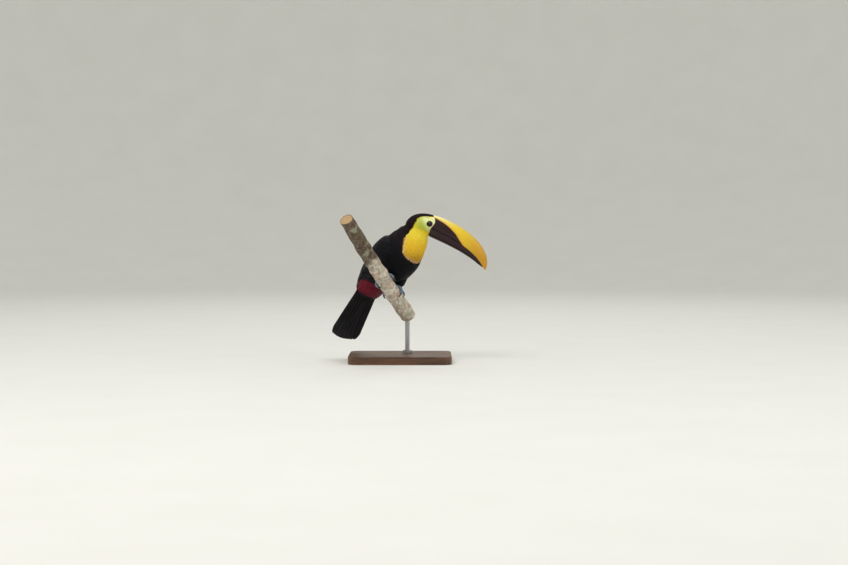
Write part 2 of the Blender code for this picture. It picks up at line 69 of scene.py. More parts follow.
# ---------------------------------------------------------------- the body's design, as in the solids
# Spine rows: distance from the tail root, yaw, pitch and roll, half width, depth to back and belly.
SPINE = np.array((
    (-0.023, 40.0, 55.0, 32.0, 0.0225, 0.0080, 0.0090),
    (-0.012, 40.0, 52.0, 32.0, 0.0285, 0.0155, 0.0180),
    (0.000, 40.0, 49.0, 27.0, 0.0320, 0.0220, 0.0245),
    (0.032, 40.0, 44.5, 24.0, 0.0395, 0.0330, 0.0380),
    (0.073, 40.0, 40.0, 20.0, 0.0470, 0.0430, 0.0502),
    (0.108, 40.0, 40.0, 16.0, 0.0490, 0.0445, 0.0565),
    (0.135, 36.0, 43.0, 11.0, 0.0460, 0.0440, 0.0520),
    (0.157, 28.0, 48.0, 6.0, 0.0390, 0.0405, 0.0440),
    (0.176, 16.0, 55.0, 2.0, 0.0300, 0.0350, 0.0360),
    (0.194, 3.0, 62.0, 0.0, 0.0190, 0.0215, 0.0225),
))
NECK_TOP = np.array((0.0413, -0.0245, 0.3010))
NECK_END = 0.194

# Folded wing rows: distance along the spine, turn of the lower and upper edge, thickness.
WING = np.array((
    (-0.021, 134.0, 154.0, 0.0012),
    (-0.008, 118.0, 166.0, 0.0040),
    (0.020, 94.0, 168.0, 0.0055),
    (0.066, 70.0, 164.0, 0.0070),
    (0.106, 60.0, 158.0, 0.0078),
    (0.129, 66.0, 146.0, 0.0066),
    (0.140, 80.0, 128.0, 0.0030),
))
WING_GAP = 0.0018

TAIL_YAW, TAIL_PITCH, TAIL_ROLL = 40.0, 55.0, 32.0
TAIL_LENGTH, TAIL_START = 0.139, -0.010
TAIL_HALF_WIDTH = (0.0250, 0.0345)
TAIL_ARCH, TAIL_SWING = 0.004, 0.003

# Skull rows from the bill back, in the head's frame: x, half width, half height, z of the middle.
SKULL = np.array((
    (0.000, 0.0200, 0.0246, 0.0000),
    (-0.012, 0.0222, 0.0260, -0.0012),
    (-0.026, 0.0240, 0.0270, -0.0045),
    (-0.040, 0.0222, 0.0238, -0.0072),
    (-0.050, 0.0160, 0.0172, -0.0095),
    (-0.057, 0.0060, 0.0070, -0.0112),
))
HEAD_YAW, HEAD_PITCH = 3.0, -13.0
BILL_BASE = np.array((0.0698, -0.0265, 0.3062))
FACE_REACH = 0.0070
EYE_RADIUS = 0.0085
EYE_PLACE = np.array((-0.0037, 0.0148, 0.0031))

BILL_LENGTH = 0.162
BILL_DEPTH, BILL_WIDTH = 0.0495, 0.0375
BILL_DROOP, BILL_BEND, BILL_HOOK = 8.0, 22.0, 43.0
LOWER_SHARE = (0.40, 0.25)
LOWER_END = 0.955
MOUTH_GAP = 0.0004

BRANCH_GRIP = np.array((-0.0405, -0.0850, 0.2007))
BRANCH_YAW, BRANCH_SLOPE = 30.0, 40.0
BRANCH_UP, BRANCH_DOWN = 0.185, 0.152
BRANCH_RADIUS = (0.0182, 0.0162)
BRANCH_BOW = 0.004
KNOTS = (0.090, -0.128)
FEET = {"right": (-0.034, 24.0), "left": (-0.077, 34.0)}
HEEL_AT, KNEE_AT, KNEE_TURN, HEEL_BACK = 0.060, 0.090, 2.0, 0.013
FOOT_HEIGHT = 0.0085
THIGH_RADII = (0.0120, 0.0166, 0.0105, 0.0060)

# ---------------------------------------------------------------- the plumage's design
# How deep the coat is over the skin along the body, in millimetres.
COAT = np.array([(-0.023, 1.6), (0.0, 2.4), (0.05, 2.8), (0.14, 2.7), (0.17, 2.1), (0.194, 1.5)])
HEAD_COAT = 1.3  # millimetres over the crown and cheeks
# The yellow bib's half turn round the neck at distances along the spine.
BIB = np.array((
    (0.1400, 0.0),
    (0.1405, 27.0),
    (0.1415, 39.0),
    (0.1440, 50.0),
    (0.1490, 61.0),
    (0.1550, 73.0),
    (0.1610, 84.0),
    (0.1720, 98.0),
    (0.1850, 106.0),
    (0.1940, 112.0),
))
# Where the black cap and nape end, from the nape to the bill: x and z in the head's frame.
CAP = np.array((
    (-0.0500, -0.0380),
    (-0.0480, -0.0315),
    (-0.0435, -0.0245),
    (-0.0395, -0.0175),
    (-0.0370, -0.0100),
    (-0.0355, -0.0020),
    (-0.0340, 0.0050),
    (-0.0305, 0.0110),
    (-0.0255, 0.0145),
    (-0.0190, 0.0165),
    (-0.0100, 0.0185),
    (0.0030, 0.0200),
))
FACE_MIDDLE, FACE_SIZE = (-0.0110, 0.0015), (0.0240, 0.0160)  # the lime green round the eye
BARE_MARGIN = 0.0024  # how far inside the lime green the feathers stop
CRISSUM_END = 0.038  # the red under the tail starts here along the spine
CRISSUM_FOOT = -0.011  # and feathers rooted behind this place are black again
RUMP_END = 0.012  # the white over the tail starts here
COVERTS_END = 0.046  # the wing's coverts grow in front of this place
# The culmen stripe's lower edge: share of the bill's length, height over its middle in half depths.
STRIPE = np.array((
    (-0.10, 0.86),
    (0.00, 0.84),
    (0.06, 0.75),
    (0.15, 0.66),
    (0.24, 0.51),
    (0.36, 0.23),
    (0.43, -0.04),
    (0.53, -0.36),
    (0.62, -0.66),
    (1.00, -1.60),
))
# Each kind of feather in millimetres: spacing of the roots, length, width, height of its root and
# of its tip over the skin, and how far in degrees its lie wanders.
FEATHERS = {
    "crown": (1.4, 5.6, 2.2, 0.10, 1.20, 8.0),
    "bib": (1.36, 8.5, 2.2, 0.10, 1.60, 8.0),
    "breast": (2.35, 12.5, 4.5, 0.40, 2.60, 9.0),
    "back": (2.4, 12.5, 4.8, 0.40, 2.60, 8.0),
    "crissum": (2.4, 11.0, 4.6, 0.40, 2.00, 8.0),
    "rump": (2.3, 10.0, 4.4, 0.30, 1.50, 8.0),
    "thigh": (2.4, 9.0, 3.8, 0.30, 2.10, 9.0),
    "shoulder": (2.8, 12.0, 5.8, 0.30, 2.40, 6.0),
}


# ---------------------------------------------------------------- numbers and frames
def unit(vectors):
    """The vectors made one long."""
    return vectors / np.maximum(np.linalg.norm(vectors, axis=-1, keepdims=True), 1e-12)


def dot(a, b):
    return np.sum(a * b, axis=-1)


def ease(low, high, x):
    """0 below low, 1 above high, and a smooth step between."""
    t = np.clip((x - low) / (high - low), 0.0, 1.0)
    return t * t * (3 - 2 * t)


def bump(x, middle, spread):
    """A smooth hill, 1 high, at middle."""
    return np.exp(-(((x - middle) / spread) ** 2))


def linear(code):
    """A colour given as an sRGB hex code, as linear red, green and blue."""
    parts = [int(code[i : i + 2], 16) / 255 for i in (1, 3, 5)]
    return tuple(c / 12.92 if c <= 0.04045 else ((c + 0.055) / 1.055) ** 2.4 for c in parts)


def heading(yaw, pitch):
    """Unit vectors with that yaw (from +X towards the viewer) and pitch, in degrees."""
    yaw, pitch = np.radians(yaw), np.radians(pitch)
    flat = np.cos(pitch)
    return np.stack([flat * np.cos(yaw), -flat * np.sin(yaw), np.sin(pitch)], -1)


def rolled_left(yaw, pitch, roll):
    """The left side of something with that yaw and pitch, lowered by the roll."""
    turn = np.radians(yaw)
    left = np.stack([np.sin(turn), np.cos(turn), 0.0 * turn], -1)
    down = np.cross(heading(yaw, pitch), left)
    roll = np.radians(-np.asarray(roll, float))[..., None]
    return left * np.cos(roll) + down * np.sin(roll)


def smooth_rows(rows, at):
    """The rows' other values at those first values, by smooth curves through the rows."""
    x, y = rows[:, 0], rows[:, 1:]
    slope = np.gradient(y, x, axis=0)
    at = np.atleast_1d(np.asarray(at, float))
    i = np.clip(np.searchsorted(x, at) - 1, 0, len(x) - 2)
    step = (x[i + 1] - x[i])[:, None]
    t = np.clip((at[:, None] - x[i][:, None]) / step, 0.0, 1.0)
    return (
        y[i] * (2 * t**3 - 3 * t**2 + 1)
        + slope[i] * step * (t**3 - 2 * t**2 + t)
        + y[i + 1] * (3 * t**2 - 2 * t**3)
        + slope[i + 1] * step * (t**3 - t**2)
    )


def spine_table():
    """The spine's rows with their places: distance, place (3), left (3), width, back, belly."""
    runs = heading(SPINE[:, 1], SPINE[:, 2])
    places = [NECK_TOP]
    for i in range(len(SPINE) - 2, -1, -1):
        run = unit(runs[i] + runs[i + 1])
        places.insert(0, places[0] - run * (SPINE[i + 1, 0] - SPINE[i, 0]))
    left = rolled_left(SPINE[:, 1], SPINE[:, 2], SPINE[:, 3])
    return np.hstack([SPINE[:, :1], np.array(places), left, SPINE[:, 4:]])


SPINE_PLACES = spine_table()


def body_frame(at):
    """Centre, forward, left and up of the body there, and half width, back and belly depth."""
    at = np.atleast_1d(np.asarray(at, float))
    row = smooth_rows(SPINE_PLACES, at)
    ends = SPINE_PLACES[0, 0], SPINE_PLACES[-1, 0]
    ahead = smooth_rows(SPINE_PLACES, np.clip(at + 0.002, *ends))[:, :3]
    behind = smooth_rows(SPINE_PLACES, np.clip(at - 0.002, *ends))[:, :3]
    forward = unit(ahead - behind)
    left = unit(row[:, 3:6] - forward * dot(row[:, 3:6], forward)[:, None])
    return row[:, :3], forward, left, np.cross(forward, left), row[:, 6], row[:, 7], row[:, 8]


def body_point(at, turn, lift=0.0):
    """Points of the coat's outline at those distances and turns, raised by lift."""
    at, turn, lift = (np.array(v, float) for v in np.broadcast_arrays(at, turn, lift))
    shape = at.shape
    at, turn, lift = at.ravel(), turn.ravel(), lift.ravel()
    centre, _, left, up, width, back, belly = body_frame(at)
    depth = np.where(np.abs(turn) > 90, back, belly)
    angle = np.radians(turn)
    across = left * ((width + lift) * np.sin(angle))[:, None]
    place = centre + across - up * ((depth + lift) * np.cos(angle))[:, None]
    return place.reshape(*shape, 3)


def body_out(at, turn):
    """The direction away from the body there."""
    at, turn = (np.array(v, float) for v in np.broadcast_arrays(at, turn))
    step_at = body_point(np.clip(at + 0.001, None, NECK_END), turn) - body_point(at - 0.001, turn)
    step_turn = body_point(at, turn + 1.0) - body_point(at, turn - 1.0)
    return unit(np.cross(step_turn, step_at))


HEAD_AXES = np.array(
    [
        heading(HEAD_YAW, HEAD_PITCH),
        rolled_left(HEAD_YAW, HEAD_PITCH, 0.0),
        np.cross(heading(HEAD_YAW, HEAD_PITCH), rolled_left(HEAD_YAW, HEAD_PITCH, 0.0)),
    ]
)


def from_head(points):
    """Points of the head's frame in the model's."""
    return BILL_BASE + np.asarray(points) @ HEAD_AXES


def to_head(points):
    """The model's points in the head's frame."""
    return (points - BILL_BASE) @ HEAD_AXES.T


def skull_at(x):
    """Half width, half height and z of the skull's middle at that x."""
    row = smooth_rows(SKULL[::-1], np.clip(np.ravel(x), SKULL[-1, 0], 0.0))
    return (row[:, i].reshape(np.shape(x)) for i in range(3))


def face_edge(height):
    """How far forward the face reaches over the bill's root at that height."""
    return FACE_REACH * bump(height, 0.009, 0.0125)


def branch_at(along):
    """The branch's middle and radius at that distance above the grip."""
    along = np.asarray(along, float)
    share = (along + BRANCH_DOWN) / (BRANCH_UP + BRANCH_DOWN)
    bow = BRANCH_BOW * np.sin(math.pi * share)
    radius = BRANCH_RADIUS[0] + (BRANCH_RADIUS[1] - BRANCH_RADIUS[0]) * share
    place = BRANCH_GRIP + BRANCH_RUN * along[..., None] + BRANCH_SIDE * bow[..., None]
    return place, radius


BRANCH_RUN = unit(
    -rolled_left(BRANCH_YAW, 0.0, 0.0) * math.cos(math.radians(BRANCH_SLOPE))
    + np.array((0, 0, math.sin(math.radians(BRANCH_SLOPE))))
)
BRANCH_SIDE = unit(np.cross(BRANCH_RUN, (0, 0, 1)))


def leg_places(side):
    """The knee, the ankle, the branch's middle under the foot and the way out of it."""
    along, turn = FEET[side]
    hand = 1 if side == "left" else -1
    axis, radius = branch_at(along)
    heel = body_point(HEEL_AT, hand * turn)
    knee = body_point(KNEE_AT, hand * (turn + KNEE_TURN))
    middle = body_frame(KNEE_AT)[0][0]
    out = heel - axis
    out = unit(out - BRANCH_RUN * dot(out, BRANCH_RUN))
    pad_top = axis + out * (radius + FOOT_HEIGHT + 0.004)
    ankle = pad_top + (heel - pad_top) * 0.45 - heading(40.0, 40.0) * HEEL_BACK
    return middle + (knee - middle) * 0.78, ankle, axis, out


def locate(points):
    """Where points are on the body: distance along the spine, signed turn in degrees, and how
    far out they are as a share of the outline."""
    at = np.linspace(SPINE[0, 0], NECK_END, 221)
    centre, forward, left, up, width, back, belly = body_frame(at)
    found = np.empty(len(points), int)
    for part in np.array_split(np.arange(len(points)), max(1, len(points) // 15000)):
        gap = points[part][:, None, :] - centre[None]
        along = np.abs(np.einsum("pki,ki->pk", gap, forward))
        along += 0.05 * np.linalg.norm(gap, axis=2)
        found[part] = np.argmin(along, axis=1)
    gap = points - centre[found]
    side, rise = dot(gap, left[found]), dot(gap, up[found])
    depth = np.where(rise > 0, back[found], belly[found])
    turn = np.degrees(np.arctan2(side / width[found], -rise / depth))
    return at[found], turn, np.hypot(side / width[found], rise / depth)


# ---------------------------------------------------------------- markings, for skin and coat alike
def head_share(place):
    """How much a point belongs to the head rather than the neck, from its head-frame place."""
    return ease(-0.032, -0.018, place[:, 2]) * ease(-0.064, -0.054, place[:, 0])


def cap_depth(place):
    """How far under the black cap's edge head-frame places are, seen from the side, in metres."""
    flat = place[:, [0, 2]][:, None, :]
    start, run = CAP[:-1], np.diff(CAP, axis=0)
    share = np.clip(dot(flat - start, run) / dot(run, run), 0, 1)
    away = np.linalg.norm(flat - start - run * share[..., None], axis=2).min(axis=1)
    limit = np.interp(place[:, 0], CAP[:, 0], CAP[:, 1], left=-1.0)
    return np.where(place[:, 2] < limit, away, -away)


def bib_depth(points):
    """How far inside the yellow of the face, throat and breast points are, in metres."""
    at, turn, _ = locate(points)
    limit = np.interp(at, BIB[:, 0], BIB[:, 1])
    girth = body_frame(at)[4]
    on_neck = np.radians(limit - np.abs(turn)) * girth
    on_neck = np.where(at < BIB[0, 0] + 0.008, np.minimum(on_neck, (at - BIB[0, 0]) * 1.3), on_neck)
    place = to_head(points)
    share = head_share(place)
    return on_neck * (1 - share) + cap_depth(place) * share


def face_depth(points):
    """How far inside the lime green round the eye points are, in metres. It is round behind the
    eye, and square in front, where it meets the bill."""
    place = to_head(points)
    across = (place[:, 0] - FACE_MIDDLE[0]) / FACE_SIZE[0]
    rise = np.abs(place[:, 2] - FACE_MIDDLE[1]) / FACE_SIZE[1]
    square = np.where(across > 0, 5.0, 2.2)
    across = np.where(across > 0, across * 0.8, -across)
    inside = (1 - (across**square + rise**square) ** (1 / square)) * FACE_SIZE[1]
    return np.where(np.abs(place[:, 1]) > 0.006, inside, -0.01)


def markings(points):
    """Every marking's strength at those points, from 0 to 1, by name."""
    at, turn, _ = locate(points)
    half = np.abs(turn)
    bib, face = bib_depth(points), face_depth(points)
    place = to_head(points)
    lower = 1 - ease(0.160, 0.178, at)
    red = 1 - ease(0.0, 0.006, at - CRISSUM_END + 0.026 * (half / 90) ** 2)
    red = red * (1 - ease(88, 98, half)) * ease(-0.002, 0.002, at - CRISSUM_FOOT)
    white = (1 - ease(0.0, 0.006, at - RUMP_END)) * ease(104, 114, half)
    nape = ease(0.118, 0.150, at) * ease(95, 130, half) * (1 - ease(-0.030, -0.012, place[:, 0]))
    return {
        "bib": ease(-0.0003, 0.0003, bib),
        "rim": ease(0.0, 0.0004, bib) * (1 - ease(0.0000, 0.0078, bib)) * lower,
        "band": (1 - ease(-0.0003, 0.0003, bib)) * ease(-0.0060, -0.0020, bib) * lower,
        # How far down the bib a point is: lower down, its own gold; lowest, painted shade.
        "tone": np.clip((place[:, 2] + 0.020) / -0.070, 0, 1),
        "lime": ease(-0.0040, 0.0045, face),
        "cheek": ease(-0.002, 0.016, -place[:, 0] - 0.006 - 0.80 * place[:, 2]),
        "gape": bump(place[:, 0], 0.000, 0.0065) * bump(place[:, 2], -0.0110, 0.0060),
        "crissum": red,
        "white": white,
        "maroon": np.maximum(nape, 0.6 * bump(bib, -0.010, 0.010) * ease(0.13, 0.15, at)),
    }


# ---------------------------------------------------------------- meshes from arrays
def ring_faces(rows, sides, closed=True):
    """Quads between rings of points, and the two ends' faces where they are closed."""
    low = np.arange((rows - 1) * sides).reshape(rows - 1, sides)
    right = np.roll(low, -1, axis=1)
    faces = np.stack([low, right, right + sides, low + sides], -1).reshape(-1, 4).tolist()
    if closed:
        faces.append(list(range(sides))[::-1])
        faces.append(list(range((rows - 1) * sides, rows * sides)))
    return faces


def sheet_faces(rows, columns):
    """Quads of an open sheet of points."""
    low = np.arange((rows - 1) * columns).reshape(rows - 1, columns)[:, :-1]
    return np.stack([low, low + 1, low + 1 + columns, low + columns], -1).reshape(-1, 4).tolist()


def joined(parts):
    """Several lists of points and faces as one."""
    points, faces, start = [], [], 0
    for some, its in parts:
        points.append(np.asarray(some).reshape(-1, 3))
        faces += [[i + start for i in face] for face in its]
        start += len(points[-1])
    return np.vstack(points), faces


def new_mesh(name, points, faces, outward=False):
    """A mesh from points and faces, shaded smooth, its faces turned outwards if asked."""
    mesh = bpy.data.meshes.new(name)
    mesh.from_pydata(np.asarray(points).tolist(), [], faces)
    if outward:
        bm = bmesh.new()
        bm.from_mesh(mesh)
        bmesh.ops.recalc_face_normals(bm, faces=bm.faces)
        bm.to_mesh(mesh)
        bm.free()
    mesh.shade_smooth()
    mesh.update()
    return mesh


def new_object(name, mesh, finish=None):
    """Links a mesh as an object at the origin, with its finish."""
    thing = bpy.data.objects.new(name, mesh)
    bpy.context.scene.collection.objects.link(thing)
    if finish:
        mesh.materials.clear()
        mesh.materials.append(finish)
    return thing


def settled(thing):
    """The object's evaluated mesh in place of its own, with its modifiers gone."""
    graph = bpy.context.evaluated_depsgraph_get()
    mesh = bpy.data.meshes.new_from_object(
        thing.evaluated_get(graph), preserve_all_data_layers=True, depsgraph=graph
    )
    thing.modifiers.clear()
    old = thing.data
    thing.data = mesh
    mesh.name = old.name + "_made"
    bpy.data.meshes.remove(old)
    return mesh


def dropped(*things):
    """Removes helpers that have done their work."""
    for thing in things:
        bpy.data.objects.remove(thing)


def vectors_of(items, field):
    """A vector of each item as an array."""
    flat = np.empty(len(items) * 3, np.float32)
    items.foreach_get(field, flat)
    return flat.reshape(-1, 3).astype(float)


def coordinates(mesh):
    """The mesh's points as an array."""
    return vectors_of(mesh.vertices, "co")


def normals_of(mesh):
    """The mesh's vertex normals as an array."""
    return vectors_of(mesh.vertex_normals, "vector")


def record(mesh, name, values):
    """Stores a number or a vector for each point of the mesh."""
    values = np.asarray(values, np.float32)
    kind, field = ("FLOAT", "value") if values.ndim == 1 else ("FLOAT_VECTOR", "vector")
    if name in mesh.attributes:
        mesh.attributes.remove(mesh.attributes[name])
    mesh.attributes.new(name, kind, "POINT").data.foreach_set(field, values.ravel())


def cad_copy(node, levels):
    """A CAD node's merged mesh, made round by subdivision, as points and faces."""
    bm = bmesh.new()
    bm.from_mesh(CAD[node].data)
    bmesh.ops.remove_doubles(bm, verts=bm.verts, dist=0.00002)
    bmesh.ops.join_triangles(
        bm, faces=bm.faces, angle_face_threshold=0.6, angle_shape_threshold=1.2
    )
    mesh = bpy.data.meshes.new(node + "_copy")
    bm.to_mesh(mesh)
    bm.free()
    helper = new_object(node + "_copy", mesh)
    step = helper.modifiers.new("round", "SUBSURF")
    step.levels = step.render_levels = levels
    mesh = settled(helper)
    points = coordinates(mesh)
    faces = [list(face.vertices) for face in mesh.polygons]
    dropped(helper)
    return points, faces


def wander(points, size, seed=0.0):
    """Smooth noise from -1 to 1 whose lumps are that big."""
    shift = Vector((seed, seed * 1.7, -seed))
    return np.array([noise.noise(Vector(p) / size + shift) for p in points])


def finished(thing, replaced=()):
    """Says what a piece rides on, and hides the solids it stands for."""
    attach(thing, "root")
    if replaced:
        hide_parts(*replaced)


# ---------------------------------------------------------------- materials
# The nodes in use: Blender's kind, its settings, the inputs that values fill in order, and the
# output that is taken. A pattern's scale is its lumps to the metre, so 1000 makes them 1 mm.
NODES = {
    "place": ("ShaderNodeTexCoord", {}, (), "Object"),
    "attribute": ("ShaderNodeAttribute", {}, (), "Fac"),
    "noise": ("ShaderNodeTexNoise", {}, ("Vector", "Scale", "Detail", "Roughness"), 0),
    "cells": ("ShaderNodeTexVoronoi", {"feature": "SMOOTH_F1"}, ("Vector", "Scale"), "Distance"),
    "stretch": ("ShaderNodeMapping", {}, ("Vector", "Scale"), 0),
    "range": ("ShaderNodeMapRange", {"interpolation_type": "SMOOTHSTEP"}, (0, 1, 2, 3, 4), 0),
    "mix": ("ShaderNodeMix", {"data_type": "RGBA"}, (0, 6, 7), 2),
    "bump": ("ShaderNodeBump", {}, ("Height", "Distance", "Strength", "Normal"), 0),
    "combine": ("ShaderNodeCombineXYZ", {}, (0, 1, 2), 0),
    "unit": ("ShaderNodeVectorMath", {"operation": "NORMALIZE"}, (0,), 0),
    "scale": ("ShaderNodeVectorMath", {"operation": "SCALE"}, (0, "Scale"), 0),
    "plus": ("ShaderNodeVectorMath", {"operation": "ADD"}, (0, 1), 0),
    "stored": ("GeometryNodeInputNamedAttribute", {}, ("Name",), "Attribute"),
    "vector": ("GeometryNodeInputNamedAttribute", {"data_type": "FLOAT_VECTOR"}, ("Name",), "Attribute"),
    "store": ("GeometryNodeStoreNamedAttribute", {}, ("Geometry", "Name", "Value"), 0),
    "object": ("GeometryNodeObjectInfo", {}, ("Object",), "Geometry"),
    "chance": ("FunctionNodeRandomValue", {"data_type": "FLOAT"}, (2, 3, "Seed"), 1),
    "facing": ("FunctionNodeAxesToRotation", {"primary_axis": "Z", "secondary_axis": "Y"}, (0, 1), 0),
    "rotation": ("FunctionNodeEulerToRotation", {}, (0,), 0),
    "turned": ("FunctionNodeRotateRotation", {"rotation_space": "LOCAL"}, (0, 1), 0),
    "copies": ("GeometryNodeInstanceOnPoints", {}, ("Points", "Instance", "Rotation", "Scale"), 0),
    "real": ("GeometryNodeRealizeInstances", {}, (0,), 0),
    "nearest": ("GeometryNodeProximity", {"target_element": "FACES"}, (0,), 0),
    "nearby": ("GeometryNodeSampleNearestSurface", {"data_type": "FLOAT_VECTOR"}, ("Mesh", "Value"), 0),
    "moved": ("GeometryNodeSetPosition", {}, ("Geometry", "Position"), 0),
    "smooth": ("GeometryNodeSetShadeSmooth", {}, ("Geometry",), 0),
    "covered": ("GeometryNodeSetMaterial", {}, ("Geometry", "Material"), 0),
}
for name in ("add", "subtract", "multiply", "multiply_add", "power", "absolute", "sine", "fract"):
    NODES[name] = ("ShaderNodeMath", {"operation": name.upper()}, (0, 1, 2), 0)


def filled(node, sockets):
    """Sets or links a node's inputs. A colour is an sRGB hex code, or linear without its alpha."""
    for name, value in sockets.items():
        socket = node.inputs[name]
        if isinstance(value, bpy.types.NodeSocket):
            node.id_data.links.new(value, socket)
        elif socket.type == "RGBA":
            socket.default_value = (*(linear(value) if isinstance(value, str) else value), 1.0)
        else:
            socket.default_value = value
    return node


def add(tree, kind, settings=None, sockets=None):
    """Adds a node. settings are its own properties, and sockets its inputs' values or links."""
    node = tree.nodes.new(kind)
    for name, value in (settings or {}).items():
        setattr(node, name, value)
    return filled(node, sockets or {})


def used(tree, word, *values, **changes):
    """Adds one of the nodes named in NODES, and returns its output."""
    kind, settings, sockets, output = NODES[word]
    return add(tree, kind, settings | changes, dict(zip(sockets, values))).outputs[output]


def new_finish(name):
    """An empty material: the material, what adds a node of NODES to it, and its shader."""
    made = bpy.data.materials.new(name)
    made.use_nodes = True
    tree = made.node_tree
    tree.nodes.clear()
    shader = add(tree, "ShaderNodeBsdfPrincipled")
    add(tree, "ShaderNodeOutputMaterial", None, {"Surface": shader.outputs[0]})
    return made, partial(used, tree), shader


def into(shader, **sockets):
    """Sets or links the shader's inputs, which are named with underscores for spaces."""
    filled(shader, {name.replace("_", " "): value for name, value in sockets.items()})


# What skin and feathers carry as attributes: their markings, and the shade that differs by feather.
MARKS = "bib", "rim", "band", "tone", "lime", "cheek", "gape", "crissum", "white", "maroon", "shade"


def marked_colour(use, settings):
    """The bird's colours from its markings, for skin and feathers alike."""
    tint = use("noise", use("place"), 160.0, 2.0)
    mark = {name: use("attribute", attribute_name=name) for name in MARKS}
    shade = mark["shade"]
    dark = use("mix", use("range", tint, 0.35, 0.7), "#040407", "#090A11")
    dark = use("mix", use("multiply", shade, 0.35), dark, "#0F0F17")
    warm = use("multiply", mark["maroon"], 0.6)
    colour = use("mix", warm, dark, "#22090F")
    band = use("multiply", mark["band"], 0.85)
    colour = use("mix", band, colour, "#3C0A10")
    red = use("mix", shade, settings.crissum_colour, "#56081B")
    colour = use("mix", mark["crissum"], colour, red)
    white = use("mix", shade, "#F1EAD6", "#DDCFB0")
    colour = use("mix", mark["white"], colour, white)
    # Down the bib the yellow turns from lemon to its own gold, and then darker by its end: painted shade
    # from the light above.
    yellow = use("mix", use("range", mark["tone"], 0.0, 0.55), settings.bib_top, settings.bib_middle)
    yellow = use("mix", use("range", mark["tone"], 0.5, 1.0), yellow, settings.bib_low_shaded)
    yellow = use("mix", use("multiply", shade, 0.22), yellow, "#D49A1C")
    yellow = use("mix", use("multiply", tint, 0.12), yellow, "#FBEA66")
    rim = use("multiply", mark["rim"], 0.55)
    yellow = use("mix", rim, yellow, "#E3BFA4")
    lime = use("mix", mark["cheek"], settings.face_front, settings.face_back)
    yellow = use("mix", mark["lime"], yellow, lime)
    gape = use("multiply", mark["gape"], 0.70)
    yellow = use("mix", gape, yellow, "#93853E")
    return use("mix", mark["bib"], colour, yellow)


def plumage_finish(name, settings, gloss=0.50, barbs=26.0, sheen=0.03, depth=0.35):
    """Contour feathers: keratin barbs that lie close, so a soft satin with a faint sheen. Real
    barbs are 0.3 mm apart; they are drawn about 0.5 mm apart so that they show. depth is how
    dark the painted shade towards each vane's root is."""
    made, use, shader = new_finish(name)
    along, across = use("attribute", attribute_name="along"), use("attribute", attribute_name="across")
    lean = use("multiply", use("absolute", across), 0.45)
    phase = use("multiply", use("subtract", along, lean), barbs * math.tau)
    barb = use("range", use("sine", phase), -1.0, 1.0)
    shaft = use("range", use("absolute", across), 0.03, 0.12, 1.0, 0.0)
    colour = marked_colour(use, settings)
    # Each vane darkens towards its root, where the feathers over it cover it: painted shade.
    deep = use("range", along, 0.30, 0.85, depth, 0.0)
    colour = use("mix", deep, colour, "#000000")
    colour = use("mix", use("multiply", barb, 0.10), colour, "#000000")
    height = use("add", barb, use("multiply", shaft, 1.5))
    rough = use("range", use("noise", use("place"), 90.0, 3.0), 0.3, 0.7, gloss - 0.06, gloss + 0.10)
    into(
        shader,
        Base_Color=colour,
        Roughness=rough,
        Normal=use("bump", height, 0.00008, 0.5),
        Specular_IOR_Level=0.13,
        Sheen_Weight=sheen,
        Sheen_Roughness=0.45,
        Sheen_Tint="#6C76A8",
    )
    return made


def quill_finish():
    """Flight and tail feathers: stiff, close-zipped vanes, glossier than the coat, with a dark
    horn shaft. Barbs are drawn 0.7 mm apart along the vane so that they show."""
    made, use, shader = new_finish("Flight feathers")
    here = use("place")
    along, across = use("attribute", attribute_name="along"), use("attribute", attribute_name="across")
    size = use("attribute", attribute_name="reach")
    lean = use("multiply", use("absolute", across), 0.006)
    run = use("subtract", use("multiply", along, size), lean)
    ripple = use("multiply", use("subtract", use("noise", here, 60.0, 3.0), 0.5), 0.0012)
    phase = use("multiply", use("add", run, ripple), math.tau / 0.0007)
    barb = use("range", use("sine", phase), -1.0, 1.0)
    shaft = use("range", use("absolute", across), 0.03, 0.07, 1.0, 0.0)
    edge = use("range", use("absolute", across), 0.80, 1.0)
    shade = use("attribute", attribute_name="shade")
    blue = use("range", use("noise", here, 45.0, 2.0), 0.3, 0.7)
    colour = use("mix", blue, "#08080C", "#0F1119")
    colour = use("mix", use("multiply", shade, 0.4), colour, "#151318")
    worn = use("multiply", use("range", along, 0.82, 1.0), 0.40)
    worn = use("add", worn, use("multiply", edge, 0.25))
    colour = use("mix", worn, colour, "#1C1716")
    colour = use("mix", use("multiply", barb, 0.18), colour, "#030304")
    colour = use("mix", shaft, colour, "#261E19")
    height = use("add", barb, use("multiply", shaft, 2.0))
    rough = use("range", use("noise", here, 120.0, 3.0), 0.3, 0.7, 0.37, 0.52)
    into(
        shader,
        Base_Color=colour,
        Roughness=rough,
        Normal=use("bump", height, 0.00008, 0.45),
        Specular_IOR_Level=0.28,
        Sheen_Weight=0.03,
        Sheen_Roughness=0.4,
        Sheen_Tint="#6070A0",
    )
    return made


